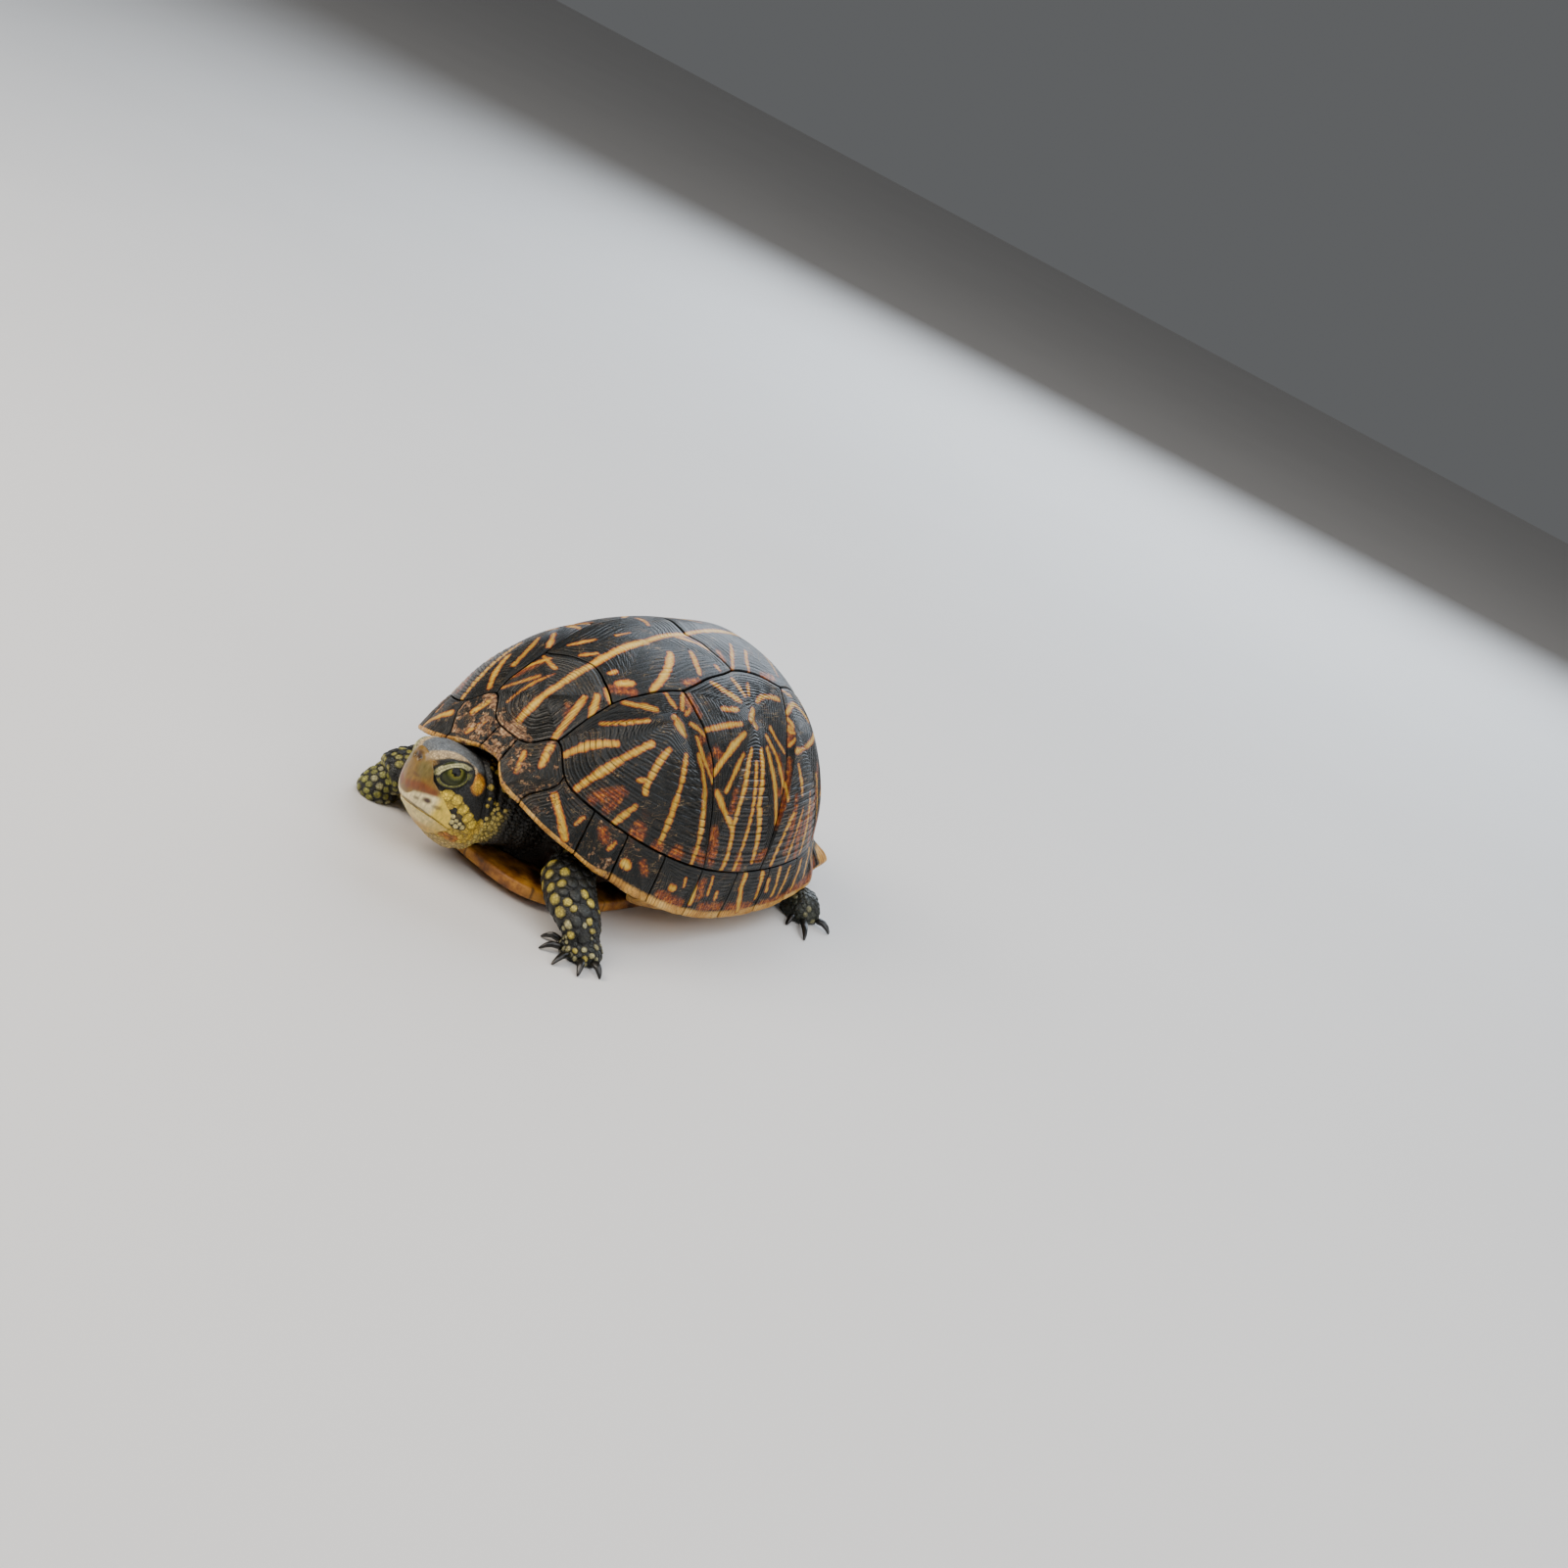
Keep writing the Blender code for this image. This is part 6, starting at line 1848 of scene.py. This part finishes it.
for i, place in enumerate(roots):
    for _, j, gap in root_tree.find_range(tuple(place), widths[i] * 0.5 + 2.6):
        if j == i:
            continue
        offset = roots[j] - place
        to_other = math.atan2(offset @ across[i], offset @ tangent[i])
        half = gap * widths[i] / (widths[i] + widths[j])
        facing = np.cos(angles - to_other)
        room = half / np.maximum(facing, 0.15)
        reach[i] = np.where(facing > 0.15, np.minimum(reach[i], room), reach[i])
reach = 0.5 * reach + 0.25 * (np.roll(reach, 1, axis=1) + np.roll(reach, -1, axis=1))
reach *= OVER_GAP
print("scale outlines:", reach.shape)


# %% Colours of the scales
def scale_colours():
    """One colour for the middle of each scale and one for its edge."""
    chance = rng.random(len(roots))
    jitter = 0.85 + 0.3 * rng.random(len(roots))
    leg, right = is_part(root_part, "foreleg"), is_part(root_part, "foreleg_right")
    hind, tail = is_part(root_part, "hindleg"), is_part(root_part, "tail")
    on_neck = on_neck_or_head & (behind_collar(head_roots) >= COLLAR_EDGE)
    upper = throat_height(head_roots) > 1.5
    bright = np.min([line_distance(roots, line) for line in BRIGHT_EDGES], axis=0) < 0.9
    middle_colour = paint_over(paint(roots), [
        ("#22241e", leg & (kinds == PLAIN)),
        ("#9c9440", leg & (kinds == PLAIN) & (chance < np.where(right, 0.5, 0.13))),
        ("#8d8c3e", (right & (roots[:, 2] < 9.5) & (chance < 0.93)) * 0.9),
        ("#2a2c27", kinds == DARK_PLATE),
        ("#bfab46", kinds == YELLOW_PLATE),
        ("#efcb40", kinds == CHEEK_PLATE),
        ("#e2d088", kinds == CREAM_PLATE),
        ("#d8c04a", bright),
        ("#a9a378", (leg & (root_along > 0.86) & (chance < 0.35)) * 0.8),
        ("#b39a3c", on_neck & upper & (chance < 0.22)),
        ("#d3bb5c", (on_neck & ~upper & (chance < 0.85))
         * ease(-12.5, -9.5, head_roots[:, 0])),
        ("#3d4034", (hind & (chance < 0.6)) * 0.8),
        ("#85805a", (hind & (chance > 0.93)) * 0.8),
        ("#8a7d3c", (tail & (chance < 0.2)) * 0.8),
    ])
    middle_colour *= jitter[:, None]
    dim = np.where(leg, 0.12, np.where(kinds >= CHEEK_PLATE, 0.10, 0.45))
    return middle_colour, middle_colour * dim[:, None]


middle_colour, edge_colour = scale_colours()
print("scales with a place of their own:", int(np.sum(kinds > PLAIN)))

# %% Build one joined mesh for each part of the coat
RINGS = (0.0, 0.55, 0.87, 1.0, 1.0)  # the top, three rings, and the skirt under the last
SKIRT = -0.30  # how deep it sinks into the skin, mm
PATCH = 0.0015  # half of a scale's patch in the bake's map


def faces_of_scale(sides):
    """A fan round the top, two bands and the skirt between four rings, and the bottom."""
    after = [(k + 1) % sides for k in range(sides)]
    faces = [(0, 1 + k, 1 + after[k]) for k in range(sides)]
    for low in (1, 1 + sides, 1 + 2 * sides):
        faces += [(low + k, low + sides + k, low + sides + after[k], low + after[k])
                  for k in range(sides)]
    return faces + [tuple(1 + 3 * sides + k for k in reversed(range(sides)))]


def coat_piece(name, chosen):
    """The chosen scales as one mesh, laid on the skin."""
    turn = np.stack([np.cos(angles), np.sin(angles)], axis=1)
    ring = np.concatenate([np.zeros((1, 2))] + [turn * share for share in RINGS[1:]])
    share = np.repeat(RINGS, [1] + [SIDES_OF_SCALE] * 4)[None]
    wide = np.concatenate([reach[chosen][:, :1]] + [reach[chosen]] * 4, axis=1)[..., None]
    local = wide * ring
    offsets = local[..., :1] * tangent[chosen][:, None] + local[..., 1:] * across[chosen][:, None]
    places = roots[chosen][:, None] + offsets
    laid, out = np.empty_like(places), np.empty_like(places)
    for i in np.ndindex(places.shape[:2]):
        laid[i], out[i], _, _ = skin_tree.find_nearest(tuple(places[i]))
    out = unit(out * 0.5 + root_normals[chosen][:, None] * 0.5)
    flat_face = is_part(root_part[chosen], "head")
    flat_face &= behind_collar(head_roots[chosen]) < COLLAR_EDGE
    high = np.where(flat_face, 0.05, 0.10)[:, None] * widths[chosen][:, None] + 0.08
    lift = high * (1 - 0.85 * share ** 4)
    ahead = np.sum(offsets * tangent[chosen][:, None], axis=2)
    lift = np.maximum(lift + np.where(flat_face, 0.03, 0.12)[:, None] * ahead, 0.03)
    lift[:, -SIDES_OF_SCALE:] = SKIRT
    vertices = (laid + out * lift[..., None]).reshape(-1, 3)
    vertices[:, 2] = np.maximum(vertices[:, 2], 0.02)
    pattern = faces_of_scale(SIDES_OF_SCALE)
    faces = [tuple(i * len(ring) + v for v in face) for i in range(len(chosen)) for face in pattern]
    mesh = bpy.data.meshes.new(name)
    mesh.from_pydata((vertices * MM).tolist(), [], faces)
    item = bpy.data.objects.new(name, mesh)
    bpy.context.scene.collection.objects.link(item)
    fade = ease(np.where(flat_face, 0.75, 0.45)[:, None], 1.0, share)[..., None]
    colours = middle_colour[chosen][:, None] * (1 - fade) + edge_colour[chosen][:, None] * fade
    add_colours(item, colours.reshape(-1, 3))
    uv = (root_uv[chosen][:, None] + PATCH * ring).reshape(-1, 2)
    loop_vertex = np.empty(len(mesh.loops), dtype=int)
    mesh.loops.foreach_get("vertex_index", loop_vertex)
    mesh.uv_layers.new(name="OFBake").data.foreach_set("uv", uv[loop_vertex].ravel())
    select(item)
    bpy.ops.object.shade_smooth()
    return item


scale_horn = skin_material("dry glossy scale horn", 0.38, 0.9, 1.1)
coat_faces = 0
for part_name in PARTS[1:]:
    shared = ("neck", "head") if part_name == "head" else (part_name,)
    chosen = np.nonzero(is_part(root_part, *shared))[0]
    item = coat_piece("scales_" + part_name, chosen)
    finish_piece(item, scale_horn)
    coat_faces += len(item.data.polygons)
    print(item.name, len(chosen), "scales")
skin.data.uv_layers.remove(skin.data.uv_layers.active)
print("coat faces:", coat_faces)
